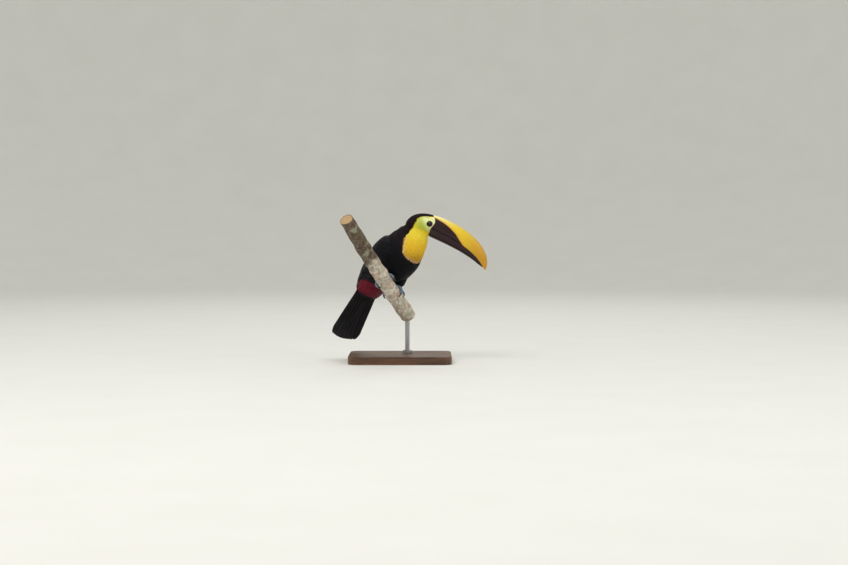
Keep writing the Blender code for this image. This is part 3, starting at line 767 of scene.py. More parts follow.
def skin_finish(settings):
    """Bare bird skin: thin, slightly moist and finely papillate on the face; blue-grey horny
    scutes on the shanks and toes; dull dark skin under the coat."""
    made, use, shader = new_finish("Bare skin and scutes")
    here = use("place")
    foot = use("attribute", attribute_name="foot")
    face = marked_colour(use, settings)
    lip, lid = use("attribute", attribute_name="lip"), use("attribute", attribute_name="lid")
    face = use("mix", lip, face, "#EFE3C0")
    face = use("mix", use("multiply", lid, 0.75), face, "#5E6C1E")
    fine = use("range", use("noise", here, 1500.0, 2.0), 0.35, 0.65)
    face = use("mix", use("multiply", fine, 0.08), face, "#FFFFC8")
    from_middle = use("subtract", use("fract", use("attribute", attribute_name="scute")), 0.5)
    from_middle = use("absolute", from_middle)
    groove = use("multiply", use("range", from_middle, 0.36, 0.49), foot)
    horn = use("mix", use("noise", here, 420.0, 3.0), "#566879", "#7E8F99")
    horn = use("mix", use("multiply", groove, 0.8), horn, "#232C33")
    colour = use("mix", foot, face, horn)
    papillae = use("bump", use("cells", here, 1100.0), 0.00012, 0.7)
    grooved = use("bump", use("subtract", 1.0, groove), 0.0003, 0.8, papillae)
    rough = use("range", fine, 0.0, 1.0, 0.40, 0.54)
    into(
        shader,
        Base_Color=colour,
        Roughness=rough,
        Normal=grooved,
        Subsurface_Weight=0.12,
        Subsurface_Scale=0.0012,
        Subsurface_Radius=(1.0, 0.55, 0.25),
    )
    return made


def bill_finish(settings):
    """A living bill: thin keratin over foam bone, polished by use to a satin gloss, with faint
    growth streaks that run with its length."""
    made, use, shader = new_finish("Bill keratin")
    share, height = use("attribute", attribute_name="share"), use("attribute", attribute_name="height")
    stripe, root = use("attribute", attribute_name="stripe"), use("attribute", attribute_name="root")
    place = use("combine", share, height)
    streak = use("noise", use("stretch", place, (0.35, 3.5, 1.0)), 9.0, 5.0, 0.6)
    cloud = use("noise", use("place"), 60.0, 3.0)
    fine = use("noise", use("place"), 600.0, 3.0)
    from_base = use("range", share, 0.02, 0.34)
    yellow = use("mix", from_base, settings.culmen_base, settings.culmen_middle)
    yellow = use("mix", use("range", share, 0.30, 0.85), yellow, settings.culmen_tip)
    yellow = use("mix", use("range", streak, 0.45, 0.75, 0.0, 0.30), yellow, "#F3DC6A")
    deeper = use("range", stripe, 0.0000, 0.0060, 0.60, 0.0)
    yellow = use("mix", deeper, yellow, "#D67E14")
    dark = use("mix", use("range", cloud, 0.3, 0.7), settings.bill_dark, "#1E0B0F")
    dark = use("mix", use("range", streak, 0.40, 0.72, 0.0, 0.45), dark, "#3A1A1E")
    dark = use("mix", use("range", share, 0.45, 0.95, 0.0, 0.5), dark, "#1C0D10")
    wave = use("multiply", use("subtract", streak, 0.5), 0.0010)
    border = use("range", use("add", stripe, wave), -0.0006, 0.0006)
    colour = use("mix", border, dark, yellow)
    seam = use("range", root, 0.0006, 0.0013, 1.0, 0.0)
    colour = use("mix", seam, colour, "#120C0C")
    colour = use("mix", use("range", fine, 0.55, 0.8, 0.0, 0.18), colour, "#000000")
    height_of = use("add", streak, use("multiply", fine, 0.25))
    rough = use("range", streak, 0.3, 0.75, 0.24, 0.42)
    into(
        shader,
        Base_Color=colour,
        Roughness=rough,
        Normal=use("bump", height_of, 0.00035, 0.5),
        Specular_IOR_Level=0.30,
        Coat_Weight=0.06,
        Coat_Roughness=0.25,
        Subsurface_Weight=0.05,
        Subsurface_Scale=0.002,
    )
    return made


def eye_finish(settings):
    """A living eye: a wet clear cornea over a very dark brown iris and a round black pupil."""
    made, use, shader = new_finish("Wet cornea and iris")
    gaze, spoke = use("attribute", attribute_name="gaze"), use("attribute", attribute_name="spoke")
    place = use("combine", spoke, gaze)
    thread = use("noise", use("stretch", place, (1.0, 0.10, 1.0)), 26.0, 3.0, 0.6)
    iris = use("mix", use("range", thread, 0.3, 0.7), settings.iris, "#2C1A0E")
    colour = use("mix", use("range", gaze, 0.315, 0.335), "#020202", iris)
    colour = use("mix", use("range", gaze, 0.56, 0.62), colour, "#0B0908")
    into(
        shader,
        Base_Color=colour,
        Roughness=0.10,
        Specular_IOR_Level=0.0,
        Coat_Weight=1.0,
        Coat_Roughness=0.02,
        Coat_IOR=1.376,
        IOR=1.376,
    )
    return made


def claw_finish():
    """Claw horn: dense black keratin, smooth and half glossy, with a faint grey mottle."""
    made, use, shader = new_finish("Claw horn")
    here = use("place")
    colour = use("mix", use("noise", here, 500.0, 3.0), "#141416", "#2C2C2E")
    normal = use("bump", use("noise", here, 1400.0, 3.0), 0.00006)
    into(shader, Base_Color=colour, Roughness=0.34, Normal=normal)
    return made


def bark_finish(settings):
    """Thin tropical bark, dead and dry: pale cream and pinkish grey below, with grey-green
    lichen in patches, and browner with moss towards the top. Its cracks and hollows are darkened
    with painted shade. The cut ends show the wood."""
    made, use, shader = new_finish("Dry bark with lichen")
    height, depth = use("attribute", attribute_name="rise"), use("attribute", attribute_name="crevice")
    wood, ring = use("attribute", attribute_name="cut"), use("attribute", attribute_name="ring")
    here = use("place")
    big = use("noise", here, 38.0, 4.0)
    middle = use("noise", here, 120.0, 5.0, 0.6)
    fine = use("noise", here, 900.0, 4.0)
    pale = use("mix", use("range", middle, 0.35, 0.65), settings.bark_pale, "#A99A88")
    pale = use("mix", use("range", big, 0.48, 0.66, 0.0, 0.6), pale, "#C9A99A")
    pale = use("mix", use("range", fine, 0.50, 0.70, 0.0, 0.60), pale, "#6E6152")
    brown = use("mix", use("range", middle, 0.40, 0.60), settings.bark_dark, "#7A6A58")
    brown = use("mix", use("range", fine, 0.45, 0.65, 0.0, 0.7), brown, "#2B2318")
    mossy = use("add", height, use("multiply", use("subtract", big, 0.5), 1.1))
    colour = use("mix", use("range", mossy, 0.50, 0.74), pale, brown)
    bloom = use("add", use("noise", here, 52.0, 2.0, 0.4), use("multiply", middle, 0.25))
    lichen = use("mix", use("range", fine, 0.4, 0.6), "#B9BDA6", "#8E987F")
    colour = use("mix", use("range", bloom, 0.69, 0.78, 0.0, 0.50), colour, lichen)
    # Darker in the cracks and hollows: painted shade.
    colour = use("mix", use("range", depth, 0.25, 0.95, 0.0, 0.6), colour, "#4A3D31")
    year = use("add", ring, use("multiply", middle, 0.0016))
    year = use("sine", use("multiply", year, math.tau / 0.0016))
    inner = use("mix", use("range", year, -0.6, 1.0), "#C6A77E", "#9C7A52")
    colour = use("mix", wood, colour, inner)
    bumps = use("add", middle, use("multiply", fine, 0.5))
    rough = use("range", fine, 0.3, 0.7, 0.72, 0.92)
    into(shader, Base_Color=colour, Roughness=rough, Normal=use("bump", bumps, 0.0016, 0.8))
    return made


def base_finish(settings):
    """Walnut board, planed, oiled and rubbed: long dark grain with pores, a low satin."""
    made, use, shader = new_finish("Oiled walnut")
    here = use("place")
    long_grain = use("noise", use("stretch", here, (0.35, 4.0, 4.0)), 14.0, 6.0, 0.62)
    pores = use("noise", use("stretch", here, (0.06, 1.0, 1.0)), 420.0, 2.0)
    figure = use("range", long_grain, 0.32, 0.68)
    colour = use("mix", figure, settings.base_wood, "#6B472C")
    colour = use("mix", use("range", pores, 0.60, 0.70, 0.0, 0.65), colour, "#1E120A")
    rough = use("range", pores, 0.5, 0.7, 0.38, 0.55)
    into(shader, Base_Color=colour, Roughness=rough, Normal=use("bump", pores, -0.0002, 0.6))
    return made


def steel_finish():
    """Round steel bar, turned and brushed round its axis: grey satin with fine rings."""
    made, use, shader = new_finish("Brushed steel")
    squeezed = use("stretch", use("place"), (0.05, 0.05, 1.0))
    rings = use("noise", squeezed, 900.0, 2.0)
    colour = use("mix", rings, "#8E8F92", "#B4B5B7")
    rough = use("range", rings, 0.3, 0.7, 0.26, 0.42)
    brushed = use("bump", rings, 0.00003, 0.5)
    into(shader, Base_Color=colour, Metallic=1.0, Roughness=rough, Normal=brushed)
    return made


def floor_finish(settings):
    """Matt pale paper or painted board, with the faintest mottle."""
    made, use, shader = new_finish("Matt pale backdrop")
    shade = use("mix", use("noise", use("place"), 6.0, 2.0), settings.floor_colour, "#E4E3DF")
    into(shader, Base_Color=shade, Roughness=0.9)
    return made


# ---------------------------------------------------------------- skin
def body_core():
    """The body under its coat, from the tail's root to the skull."""
    at = np.linspace(SPINE[0, 0], NECK_END, 116)[:, None]
    turn = np.linspace(-180, 180, 96, endpoint=False)[None, :]
    lift = -np.interp(at, COAT[:, 0], COAT[:, 1]) * MM
    return body_point(at, turn, lift + 0.0 * turn), ring_faces(116, 96)


def skull_core():
    """The skull under its coat. It stays behind the bare face, which is a finer shell."""
    x = np.concatenate([np.linspace(-0.0555, -0.050, 5), np.linspace(-0.049, 0.0, 30)])[:, None]
    turn = np.linspace(0, math.tau, 72, endpoint=False)[None, :]
    width, height, middle = skull_at(x)
    lift = -HEAD_COAT * MM
    z = middle - (height + lift) * np.cos(turn)
    reach = face_edge(z) * 0.55 - 0.0012 + 0.0036 * ease(0.010, 0.018, z)
    reach = np.where(x == 0.0, reach, 0.0)
    points = np.stack([x + reach, (width + lift) * np.sin(turn), z], -1)
    return from_head(points), ring_faces(len(x), 72)


def wing_rows(at):
    """The wing's lower and upper turn and its thickness at those distances."""
    row = smooth_rows(WING, at)
    return row[:, 0], row[:, 1], row[:, 2]


def wing_crown(share, thick):
    """How far the wing stands out, at that share of the way from its lower to its upper edge."""
    return thick * np.sin(math.pi * (share * 0.94 + 0.03)) ** 0.6


def wing_core(side):
    """The folded wing's flesh under its coverts."""
    at = np.linspace(WING[0, 0] + 0.014, WING[-1, 0] - 0.001, 50)
    low, high, thick = wing_rows(at)
    share = np.linspace(0, 1, 25)[None, :]
    turn = side * (low[:, None] + (high - low)[:, None] * share)
    crown = wing_crown(share, thick[:, None])
    full = 0.40 + 0.60 * ease(0.056, 0.102, at)[:, None]
    outer = body_point(at[:, None] + 0 * share, turn, WING_GAP + crown * full - 0.0026)
    inner = body_point(at[:, None] + 0 * share, turn[:, ::-1], -0.006)
    return np.concatenate([outer, inner], axis=1), ring_faces(50, 50)


def thigh_core(side):
    """The feathered leg's flesh, from inside the belly to the ankle."""
    knee, ankle, _, _ = leg_places(side)
    run = unit(ankle - knee)
    across = unit(np.cross(run, BRANCH_RUN))
    deep = np.cross(run, across)
    share = np.linspace(0.0, 1.0, 22)
    radius = np.interp(share, (0, 0.42, 0.93, 1.0), THIGH_RADII) - 0.0024
    turn = np.linspace(0, math.tau, 28, endpoint=False)
    spoke = across * np.cos(turn)[:, None] + deep * np.sin(turn)[:, None]
    points = knee + (ankle + run * 0.002 - knee) * share[:, None, None]
    return points + spoke[None] * radius[:, None, None], ring_faces(22, 28)


def welded(name, parts, voxel, easing):
    """Several closed shapes melted into one skin."""
    helper = new_object(name, new_mesh(name, *joined(parts), outward=True))
    weld = helper.modifiers.new("weld", "REMESH")
    weld.mode = "VOXEL"
    weld.voxel_size = voxel
    soften = helper.modifiers.new("soften", "SMOOTH")
    soften.factor, soften.iterations = 0.5, easing
    mesh = settled(helper)
    points, faces = coordinates(mesh), [list(face.vertices) for face in mesh.polygons]
    dropped(helper)
    return points, faces


def face_relief(x, z, edge):
    """How far the bare face stands over the head's outline: the ring of lid skin, the socket,
    fine folds round the eye, and the rolled edge on the bill's root."""
    away = np.hypot(x - EYE_PLACE[0], (z - EYE_PLACE[2]) * 1.06)
    round_eye = np.arctan2(z - EYE_PLACE[2], x - EYE_PLACE[0])
    upper = 1 + 0.35 * np.sin(round_eye)
    lids = 0.95 * MM * bump(away, 0.0068, 0.0006) * upper
    lids += 0.40 * MM * bump(away, 0.0088, 0.0005)
    folds = 0.16 * MM * np.sin(31 * round_eye + 5 * np.sin(3 * round_eye)) * bump(away, 0.0082, 0.0020)
    polar = np.stack([np.cos(round_eye) * 0.0045, np.sin(round_eye) * 0.0045, away], -1)
    wrinkles = wander(polar.reshape(-1, 3), 0.0013, 7.0).reshape(away.shape)
    folds += 0.42 * MM * wrinkles * ease(0.0085, 0.0105, away)
    hollow = -0.35 * MM * bump(away, 0.0115, 0.0016)
    opening = away - 0.0004 * np.cos(2 * round_eye)
    socket = -3.4 * MM * (1 - ease(0.0055, 0.0061, opening))
    front = edge - x
    rolled = 0.55 * MM * bump(front, 0.0013, 0.0009) - 3.4 * MM * (1 - ease(0.0, 0.0006, front))
    return lids + folds + hollow + socket + rolled


def face_shell(side):
    """The bare face on one side, fine enough for its folds, and its markings' helpers."""
    rows, columns = 104, 108
    turn = np.radians(np.linspace(42, 159, rows))[:, None]
    share = np.linspace(0, 1, columns)[None, :] ** 0.85
    _, height, middle = (v.item() for v in skull_at(SKULL[1, :1]))
    edge = face_edge(middle - height * np.cos(turn)) + 0.0005
    x = -0.040 + (edge + 0.040) * share
    width, height, middle = skull_at(x)
    z = middle - height * np.cos(turn)
    y = width * np.sin(turn)
    normal = unit(np.stack([0 * x, np.sin(turn) / width, -np.cos(turn) / height], -1))
    lift = face_relief(x, z, edge)
    rim = np.minimum(np.arange(rows), np.arange(rows)[::-1])[:, None] / rows
    hidden = (1 - ease(0.0, 0.05, rim)) + (1 - ease(0.0, 0.07, share + 0 * turn))
    flat = np.stack([x, y, z], -1).reshape(-1, 3)
    papilla = wander(flat, 0.0010) * 0.13 * MM + wander(flat, 0.0045, 3.1) * 0.22 * MM
    inside = face_depth(from_head(flat)).reshape(lift.shape)
    sunk = 0.75 * (1 - ease(0.001, 0.0085, inside)) + 1 - ease(-0.0006, 0.0024, inside)
    sunk = sunk * (1 - ease(-0.010, -0.004, x)) + 1.5 * (1 - ease(-0.0040, -0.0010, inside))
    lift = lift + papilla.reshape(lift.shape) - MM * (sunk + 1.4 * np.minimum(hidden, 1.0))
    points = np.stack([x, y, z], -1) + normal * lift[..., None]
    from_eye = points - EYE_PLACE
    gap = np.linalg.norm(from_eye, axis=-1)
    opening = np.hypot(x - EYE_PLACE[0], z - EYE_PLACE[2])
    short = np.maximum(EYE_RADIUS + 0.0005 - gap, 0) * ease(0.0056, 0.0062, opening)
    points += from_eye / gap[..., None] * short[..., None]
    points[..., 1] *= side
    faces = sheet_faces(rows, columns)
    if side > 0:
        faces = [face[::-1] for face in faces]
    return from_head(points).reshape(-1, 3), faces


def foot_shells(side):
    """One foot's shank and toes, and the number of scutes from the top or root to each point."""
    _, _, axis, out = leg_places(side)
    front = np.cross(BRANCH_RUN, out)
    parts, scutes = [], []
    for node in [f"tarsus_{side}"] + [f"toe_{n}_{side}" for n in (1, 2, 3, 4)]:
        points, faces = cad_copy(node, 3)
        mesh = new_mesh("foot_helper", points, faces)
        normals = normals_of(mesh)
        bpy.data.meshes.remove(mesh)
        gap = points - axis
        gap -= BRANCH_RUN[None] * dot(gap, BRANCH_RUN)[:, None]
        if node.startswith("tarsus"):
            distance, pitch = dot(gap, out), 0.0026
        else:
            distance = np.arctan2(dot(gap, front), dot(gap, out)) * 0.0200
            pitch = 0.0023
        scute = distance / pitch + 20.0
        sink = -0.00026 * ease(0.30, 0.5, np.abs(scute % 1.0 - 0.5))
        parts.append((points + normals * sink[:, None], faces))
        scutes.append(scute)
    return parts, np.concatenate(scutes)


def make_skin(settings):
    """One skin over head, body, wings and legs, which lies inside them by the coat's depth."""
    core = [body_core(), skull_core(), wing_core(1), wing_core(-1)]
    core += [thigh_core("left"), thigh_core("right")]
    core = welded("skin_core", core, 0.0018, 9)
    faces_parts = [face_shell(1), face_shell(-1)]
    feet, scutes = [], []
    for side in ("left", "right"):
        parts, scute = foot_shells(side)
        feet += parts
        scutes.append(scute)
    points, faces = joined([core, *faces_parts, *feet])
    mesh = new_mesh("skin", points, faces)
    core_count = len(core[0])
    foot_start = core_count + sum(len(p) for p, _ in faces_parts)
    for name, values in markings(points).items():
        record(mesh, name, values)
    number = np.arange(len(points))
    place = to_head(points)
    away = np.hypot(place[:, 0] - EYE_PLACE[0], place[:, 2] - EYE_PLACE[2])
    on_face = (number >= core_count) & (number < foot_start)
    front = face_edge(place[:, 2]) + 0.0005 - place[:, 0]
    scute = np.full(len(points), 0.5)
    scute[foot_start:] = np.concatenate(scutes)
    record(mesh, "foot", (number >= foot_start).astype(float))
    record(mesh, "scute", scute)
    record(mesh, "lip", on_face * (1 - ease(0.0012, 0.0030, front)) * ease(-0.006, 0.0, place[:, 2]))
    record(mesh, "lid", on_face * (1 - ease(0.0062, 0.0078, away)))
    record(mesh, "shade", np.full(len(points), 0.3))
    record(mesh, "out", normals_of(mesh))
    record(mesh, "core", (number < core_count).astype(float))
    thing = new_object("skin", mesh, skin_finish(settings))
    flesh = ["head", "neck", "trunk", "rump"]
    flesh += [f"{part}_{side}" for part in ("wing", "thigh", "tarsus") for side in ("left", "right")]
    flesh += [f"toe_{n}_{side}" for n in (1, 2, 3, 4) for side in ("left", "right")]
    finished(thing, flesh)


# ---------------------------------------------------------------- the coat's roots and lie
def wing_share(at, turn):
    """Where a turn lies between the wing's lower (0) and upper edge (1)."""
    low, high, _ = wing_rows(at)
    return (np.abs(turn) - low) / np.maximum(high - low, 1.0)


def lie_of(points, normals):
    """The way the feathers lie at those points, along the skin."""
    at, turn, _ = locate(points)
    _, forward, *_ = body_frame(at)
    place = to_head(points)
    back = np.stack([np.full(len(points), -1.0), place[:, 1] * 18, place[:, 2] * 16 - 0.15], -1)
    throat = ease(0.0, -0.02, place[:, 2])
    back[:, 2] -= 0.9 * throat
    share = head_share(place)[:, None]
    lie = unit(back) @ HEAD_AXES * share - forward * (1 - share)
    share_up = wing_share(at, turn)
    on_wing = (at > -0.022) & (at < 0.139) & (share_up > -0.03) & (share_up < 1.03)
    step = 0.004
    low, high, _ = wing_rows(np.clip(at - step, WING[0, 0], None))
    hand = np.sign(turn)
    ahead = body_point(at - step, hand * (low + (high - low) * share_up))
    along_wing = unit(ahead - body_point(at, turn))
    lie = np.where(on_wing[:, None], along_wing, lie)
    for side in ("left", "right"):
        near, run = thigh_nearness(points, side)
        lie = lie * (1 - near[:, None]) + run * near[:, None]
    return unit(lie - normals * dot(lie, normals)[:, None])


def thigh_nearness(points, side):
    """How much points belong to that thigh, and the thigh's run."""
    knee, ankle, _, _ = leg_places(side)
    run = unit(ankle - knee)
    length = np.linalg.norm(ankle - knee)
    along = np.clip(dot(points - knee, run), 0.0, length)
    away = np.linalg.norm(points - knee - run * along[:, None], axis=1)
    _, _, out = locate(points)
    return (1 - ease(0.015, 0.019, away)) * ease(0.99, 1.06, out), run


def tract_masks(points):
    """Which kind of feather grows at each point."""
    at, turn, _ = locate(points)
    half = np.abs(turn)
    marks = markings(points)
    place = to_head(points)
    bare = (face_depth(points) > BARE_MARGIN) | (place[:, 0] > 0.0017)
    bare |= (place[:, 0] > -0.0055) & (place[:, 2] > 0.0) & (place[:, 2] < 0.0190)
    share = wing_share(at, turn)
    wing = (at > 0.020) & (at < 0.137) & (share > 0.10) & (share < 0.94)
    thigh = np.maximum(thigh_nearness(points, "left")[0], thigh_nearness(points, "right")[0]) > 0.5
    yellow = (marks["bib"] > 0.5) & ~bare
    red, white = marks["crissum"] > 0.5, marks["white"] > 0.5
    crown = ((at > 0.160) | (head_share(place) > 0.4)) & ~yellow & ~bare
    rest = ~(wing | thigh | yellow | red | white | crown | bare)
    return {
        "crown": crown,
        "bib": yellow,
        "crissum": red & ~wing & ~thigh,
        "rump": white & ~wing & ~thigh,
        "thigh": thigh & ~red,
        "shoulder_left": wing & (turn > 0) & ~thigh,
        "shoulder_right": wing & (turn < 0) & ~thigh,
        "breast": rest & (half < 92),
        "back": rest & (half >= 92),
    }


class Roots:
    """Candidate root places, spread evenly over the skin under the coat."""

    def __init__(self):
        mesh = bpy.data.objects["skin"].data
        points, normals = coordinates(mesh), normals_of(mesh)
        mesh.calc_loop_triangles()
        flat = np.empty(len(mesh.loop_triangles) * 3, np.int32)
        mesh.loop_triangles.foreach_get("vertices", flat)
        corners = flat.reshape(-1, 3)
        core = np.empty(len(mesh.vertices), np.float32)
        mesh.attributes["core"].data.foreach_get("value", core)
        corners = corners[core[corners].min(axis=1) > 0.5]
        a, b, c = points[corners[:, 0]], points[corners[:, 1]], points[corners[:, 2]]
        area = np.linalg.norm(np.cross(b - a, c - a), axis=1) / 2
        rng = np.random.default_rng(20)
        chosen = rng.choice(len(corners), 230000, p=area / area.sum())
        u, v = rng.random((2, len(chosen), 1))
        u, v = np.where(u + v > 1, 1 - u, u), np.where(u + v > 1, 1 - v, v)
        corners = corners[chosen]
        a, b, c = corners.T
        self.points = points[a] * (1 - u - v) + points[b] * u + points[c] * v
        self.normals = unit(normals[a] * (1 - u - v) + normals[b] * u + normals[c] * v)
        self.tracts = tract_masks(self.points)
        self.at = locate(self.points)[0]
        place = to_head(self.points)
        from_bill = -place[:, 0] - 0.35 * np.minimum(place[:, 2], 0)
        near_bill = 0.55 + 0.45 * ease(0.004, 0.034, from_bill)
        near_face = 0.50 + 0.50 * ease(0.0, 0.009, BARE_MARGIN - face_depth(self.points))
        self.small = np.where(place[:, 0] > -0.07, np.minimum(near_bill, near_face), 1.0)

    def spaced(self, mask, spacing):
        """Candidates under the mask that keep their own spacing from each other."""
        number = np.flatnonzero(mask)
        tree = kdtree.KDTree(len(number))
        for i, n in enumerate(number):
            tree.insert(self.points[n], i)
        tree.balance()
        free = np.ones(len(number), bool)
        kept = []
        for i, n in enumerate(number):
            if not free[i]:
                continue
            kept.append(n)
            for _, j, _ in tree.find_range(self.points[n], spacing[n]):
                free[j] = False
        return np.array(kept, int)


def all_roots():
    """The root candidates, worked out once for each new skin."""
    skin = bpy.data.objects["skin"]
    if ROOTS.get("skin") != skin.data.name:
        ROOTS["skin"] = skin.data.name
        ROOTS["made"] = Roots()
    return ROOTS["made"]


ROOTS = {}


def unwrapped(points, on_head):
    """The roots' places on an unwrap of the skin: along it, and round it, within the unit
    square."""
    if on_head:
        place = to_head(points)
        turn = np.arctan2(place[:, 1], -(place[:, 2] + 0.006))
        flat = np.stack([turn, place[:, 0] - 0.35 * place[:, 2]], -1)
    else:
        at, turn, _ = locate(points)
        flat = np.stack([np.radians(turn), at], -1)
    low, high = flat.min(axis=0), flat.max(axis=0)
    return 0.006 + (flat - low) / np.maximum(high - low, 1e-9) * 0.985


# ---------------------------------------------------------------- feathers
def vane_blank(name, rows, outline):
    """One solid vane, one long and one wide: a ridge along the shaft, and one face under it."""
    along = np.array(rows, float)[:, None]
    half = np.array(outline, float)[:, None] / 2
    across = np.linspace(-1, 1, 5)[None, :]
    points = np.stack([half * across, along + 0 * across, 0 * half * across], -1).reshape(-1, 3)
    mesh = new_mesh(name, points, ring_faces(len(rows), 5))
    record(mesh, "along", points[:, 1])
    record(mesh, "across", np.tile(across[0], len(rows)))
    record(mesh, "ridge", np.tile([0.0, 0.7, 1.0, 0.7, 0.0], len(rows)))
    blank = new_object(name, mesh)
    blank.hide_render = True
    return blank


FEATHER_INPUTS = {
    "Roots": "Geometry",
    "Vane": "Object",
    "Skin": "Object",
    "Vane thickness": "Float",
    "Edge droop": "Float",
    "Length change": "Float",
    "Wander": "Float",
    "Bake patch": "Float",
    "Seed": "Int",
    "Finish": "Material",
}


def feather_tree():
    """Geometry Nodes that lay one vane on each root, along the lie and close to the skin."""
    found = bpy.data.node_groups.get("Lay feathers")
    if found:
        return found
    tree = bpy.data.node_groups.new("Lay feathers", "GeometryNodeTree")
    for name, kind in FEATHER_INPUTS.items():
        tree.interface.new_socket(name, in_out="INPUT", socket_type=f"NodeSocket{kind}")
    tree.interface.new_socket("Feathers", in_out="OUTPUT", socket_type="NodeSocketGeometry")
    given = add(tree, "NodeGroupInput").outputs
    use = partial(used, tree)
    wandering, stretching, shading = (
        use("chance", -1.0, 1.0, use("add", given["Seed"], shift)) for shift in (1, 3, 7)
    )
    (width, length, _), (root, tip, _) = (
        add(tree, "ShaderNodeSeparateXYZ", None, {0: use("vector", name)}).outputs
        for name in ("span", "rise")
    )

    # A vane on each root, turned to its lie and drawn out to its size.
    shade = use("multiply_add", shading, 0.5, 0.5)
    shaded = use("store", given["Roots"], "shade", shade, data_type="FLOAT", domain="POINT")
    twist = use("combine", 0.0, 0.0, use("multiply", wandering, given["Wander"]))
    facing = use("facing", use("vector", "out"), use("vector", "lie"))
    turned = use("turned", facing, use("rotation", twist))
    longer = use("add", use("multiply", stretching, given["Length change"]), 1.0)
    size = use("combine", width, use("multiply", length, longer), 1.0)
    vanes = use("real", use("copies", shaded, use("object", given["Vane"]), turned, size))

    # Its height over the skin: it climbs from root to tip, with a ridge, and its edges fall.
    along, across, ridge = use("stored", "along"), use("stored", "across"), use("stored", "ridge")
    climb = use("multiply", use("subtract", tip, root), use("power", along, 0.8))
    height = use("add", climb, root)
    height = use("multiply_add", ridge, given["Vane thickness"], height)
    fall = use("multiply", use("multiply", across, across), given["Edge droop"])
    height = use("subtract", height, use("multiply", fall, along))
    skin = use("object", given["Skin"])
    outward_way = use("unit", use("nearby", skin, use("vector", "out")))
    place = use("plus", use("nearest", skin), use("scale", outward_way, height))
    laid = use("moved", vanes, place)

    # Its patch on the unwrap of the skin, for the bake.
    local = use("combine", use("multiply", across, 0.5), along)
    patch = use("plus", use("vector", "bake_root"), use("scale", local, given["Bake patch"]))
    mapped = use("store", laid, "OFBake", patch, data_type="FLOAT2", domain="CORNER")
    add(tree, "NodeGroupOutput", None, {0: use("covered", use("smooth", mapped), given["Finish"])})
    return tree


def feather_growth(kind, roots):
    """How big that kind's feathers are at each root, as a share of the size in FEATHERS. They are
    small by the bill and the face, and grow along the neck and down the wing."""
    at = roots.at
    if kind == "crown":
        return roots.small * (1 + 0.8 * ease(0.205, 0.160, at))
    if kind == "bib":
        return roots.small * (1 + 0.3 * ease(0.200, 0.150, at))
    if kind in ("breast", "back"):
        return 1 - 0.35 * ease(0.105, 0.155, at)
    if kind == "shoulder":
        return 1 + 0.9 * ease(0.105, 0.050, at) - 0.25 * ease(0.115, 0.137, at)
    return np.ones(len(at))


def lay_feathers(name, kind, mask, blank, finish, settings, seed):
    """Makes one coat piece: chooses its roots, and lets the tree lay a vane on each."""
    spacing, length, width, root, tip, stray = FEATHERS[kind]
    roots = all_roots()
    scale = settings.feather_size
    on_head = kind in ("crown", "bib")
    small = feather_growth(kind, roots)
    chosen = roots.spaced(mask, spacing * MM * scale * small)
    points, normals, small = roots.points[chosen], roots.normals[chosen], small[chosen]
    at = locate(points)[0]
    lie = lie_of(points, normals)
    mesh = new_mesh(name + "_roots", points, [])
    record(mesh, "lie", lie)
    record(mesh, "out", normals)
    narrow = 1 - 0.45 * ease(0.012, -0.020, at)
    span = np.stack([width * small * narrow, length * small, 0 * at], -1)
    record(mesh, "span", span * MM * scale)
    deep = np.interp(at, COAT[:, 0], COAT[:, 1]) * 0.75 if kind == "bib" else tip + 0 * at
    if on_head:
        share = head_share(to_head(points))
        deep = deep * (1 - share) + HEAD_COAT * 0.85 * share
        deep = deep * np.minimum(0.35 + 0.65 * small, 1.0)
    over_quills = ease(0.086, 0.056, at) if kind == "shoulder" else 0 * at
    rise = np.stack([root + 2.4 * over_quills, deep + 1.7 * over_quills, 0 * at], -1)
    record(mesh, "rise", rise * MM)
    patch = unwrapped(points, on_head)
    record(mesh, "bake_root", np.column_stack([patch, np.zeros(len(patch))]))
    shown = points + lie * (span[:, 1:2] * MM * scale * 0.72)
    for mark, values in markings(shown).items():
        record(mesh, mark, values)
    thing = new_object(name, mesh)
    tree = feather_tree()
    step = thing.modifiers.new("lay feathers", "NODES")
    step.node_group = tree
    values = {
        "Vane": blank,
        "Skin": bpy.data.objects["skin"],
        "Vane thickness": 0.00012 if on_head else 0.00015,
        "Edge droop": 0.00016 if on_head else 0.00030,
        "Length change": 0.16,
        "Wander": math.radians(stray),
        "Bake patch": 0.003,
        "Seed": seed,
        "Finish": finish,
    }
    for socket in tree.interface.items_tree:
        if socket.in_out == "INPUT" and socket.name in values:
            step[socket.identifier] = values[socket.name]
    mesh = settled(thing)
    for spare in ("lie", "out", "span", "rise", "bake_root", "ridge"):
        if spare in mesh.attributes:
            mesh.attributes.remove(mesh.attributes[spare])
    finished(thing)


def contour_blank():
    """The blank for body feathers: narrow at its root, with a full, round end."""
    rows = (0.0, 0.32, 0.62, 0.84, 0.95, 1.0)
    return vane_blank("contour_vane", rows, (0.30, 0.84, 1.0, 0.88, 0.58, 0.18))


def silky_blank():
    """The blank for the head and throat: slim, with a long point like a brush."""
    rows = (0.0, 0.34, 0.66, 0.88, 1.0)
    return vane_blank("silky_vane", rows, (0.30, 0.88, 1.0, 0.62, 0.07))


def quill_steps(rows):
    """Steps along a long feather from 0 to 1, closer together at its round tip."""
    return 1 - (1 - np.linspace(0, 1, rows)) ** 1.7


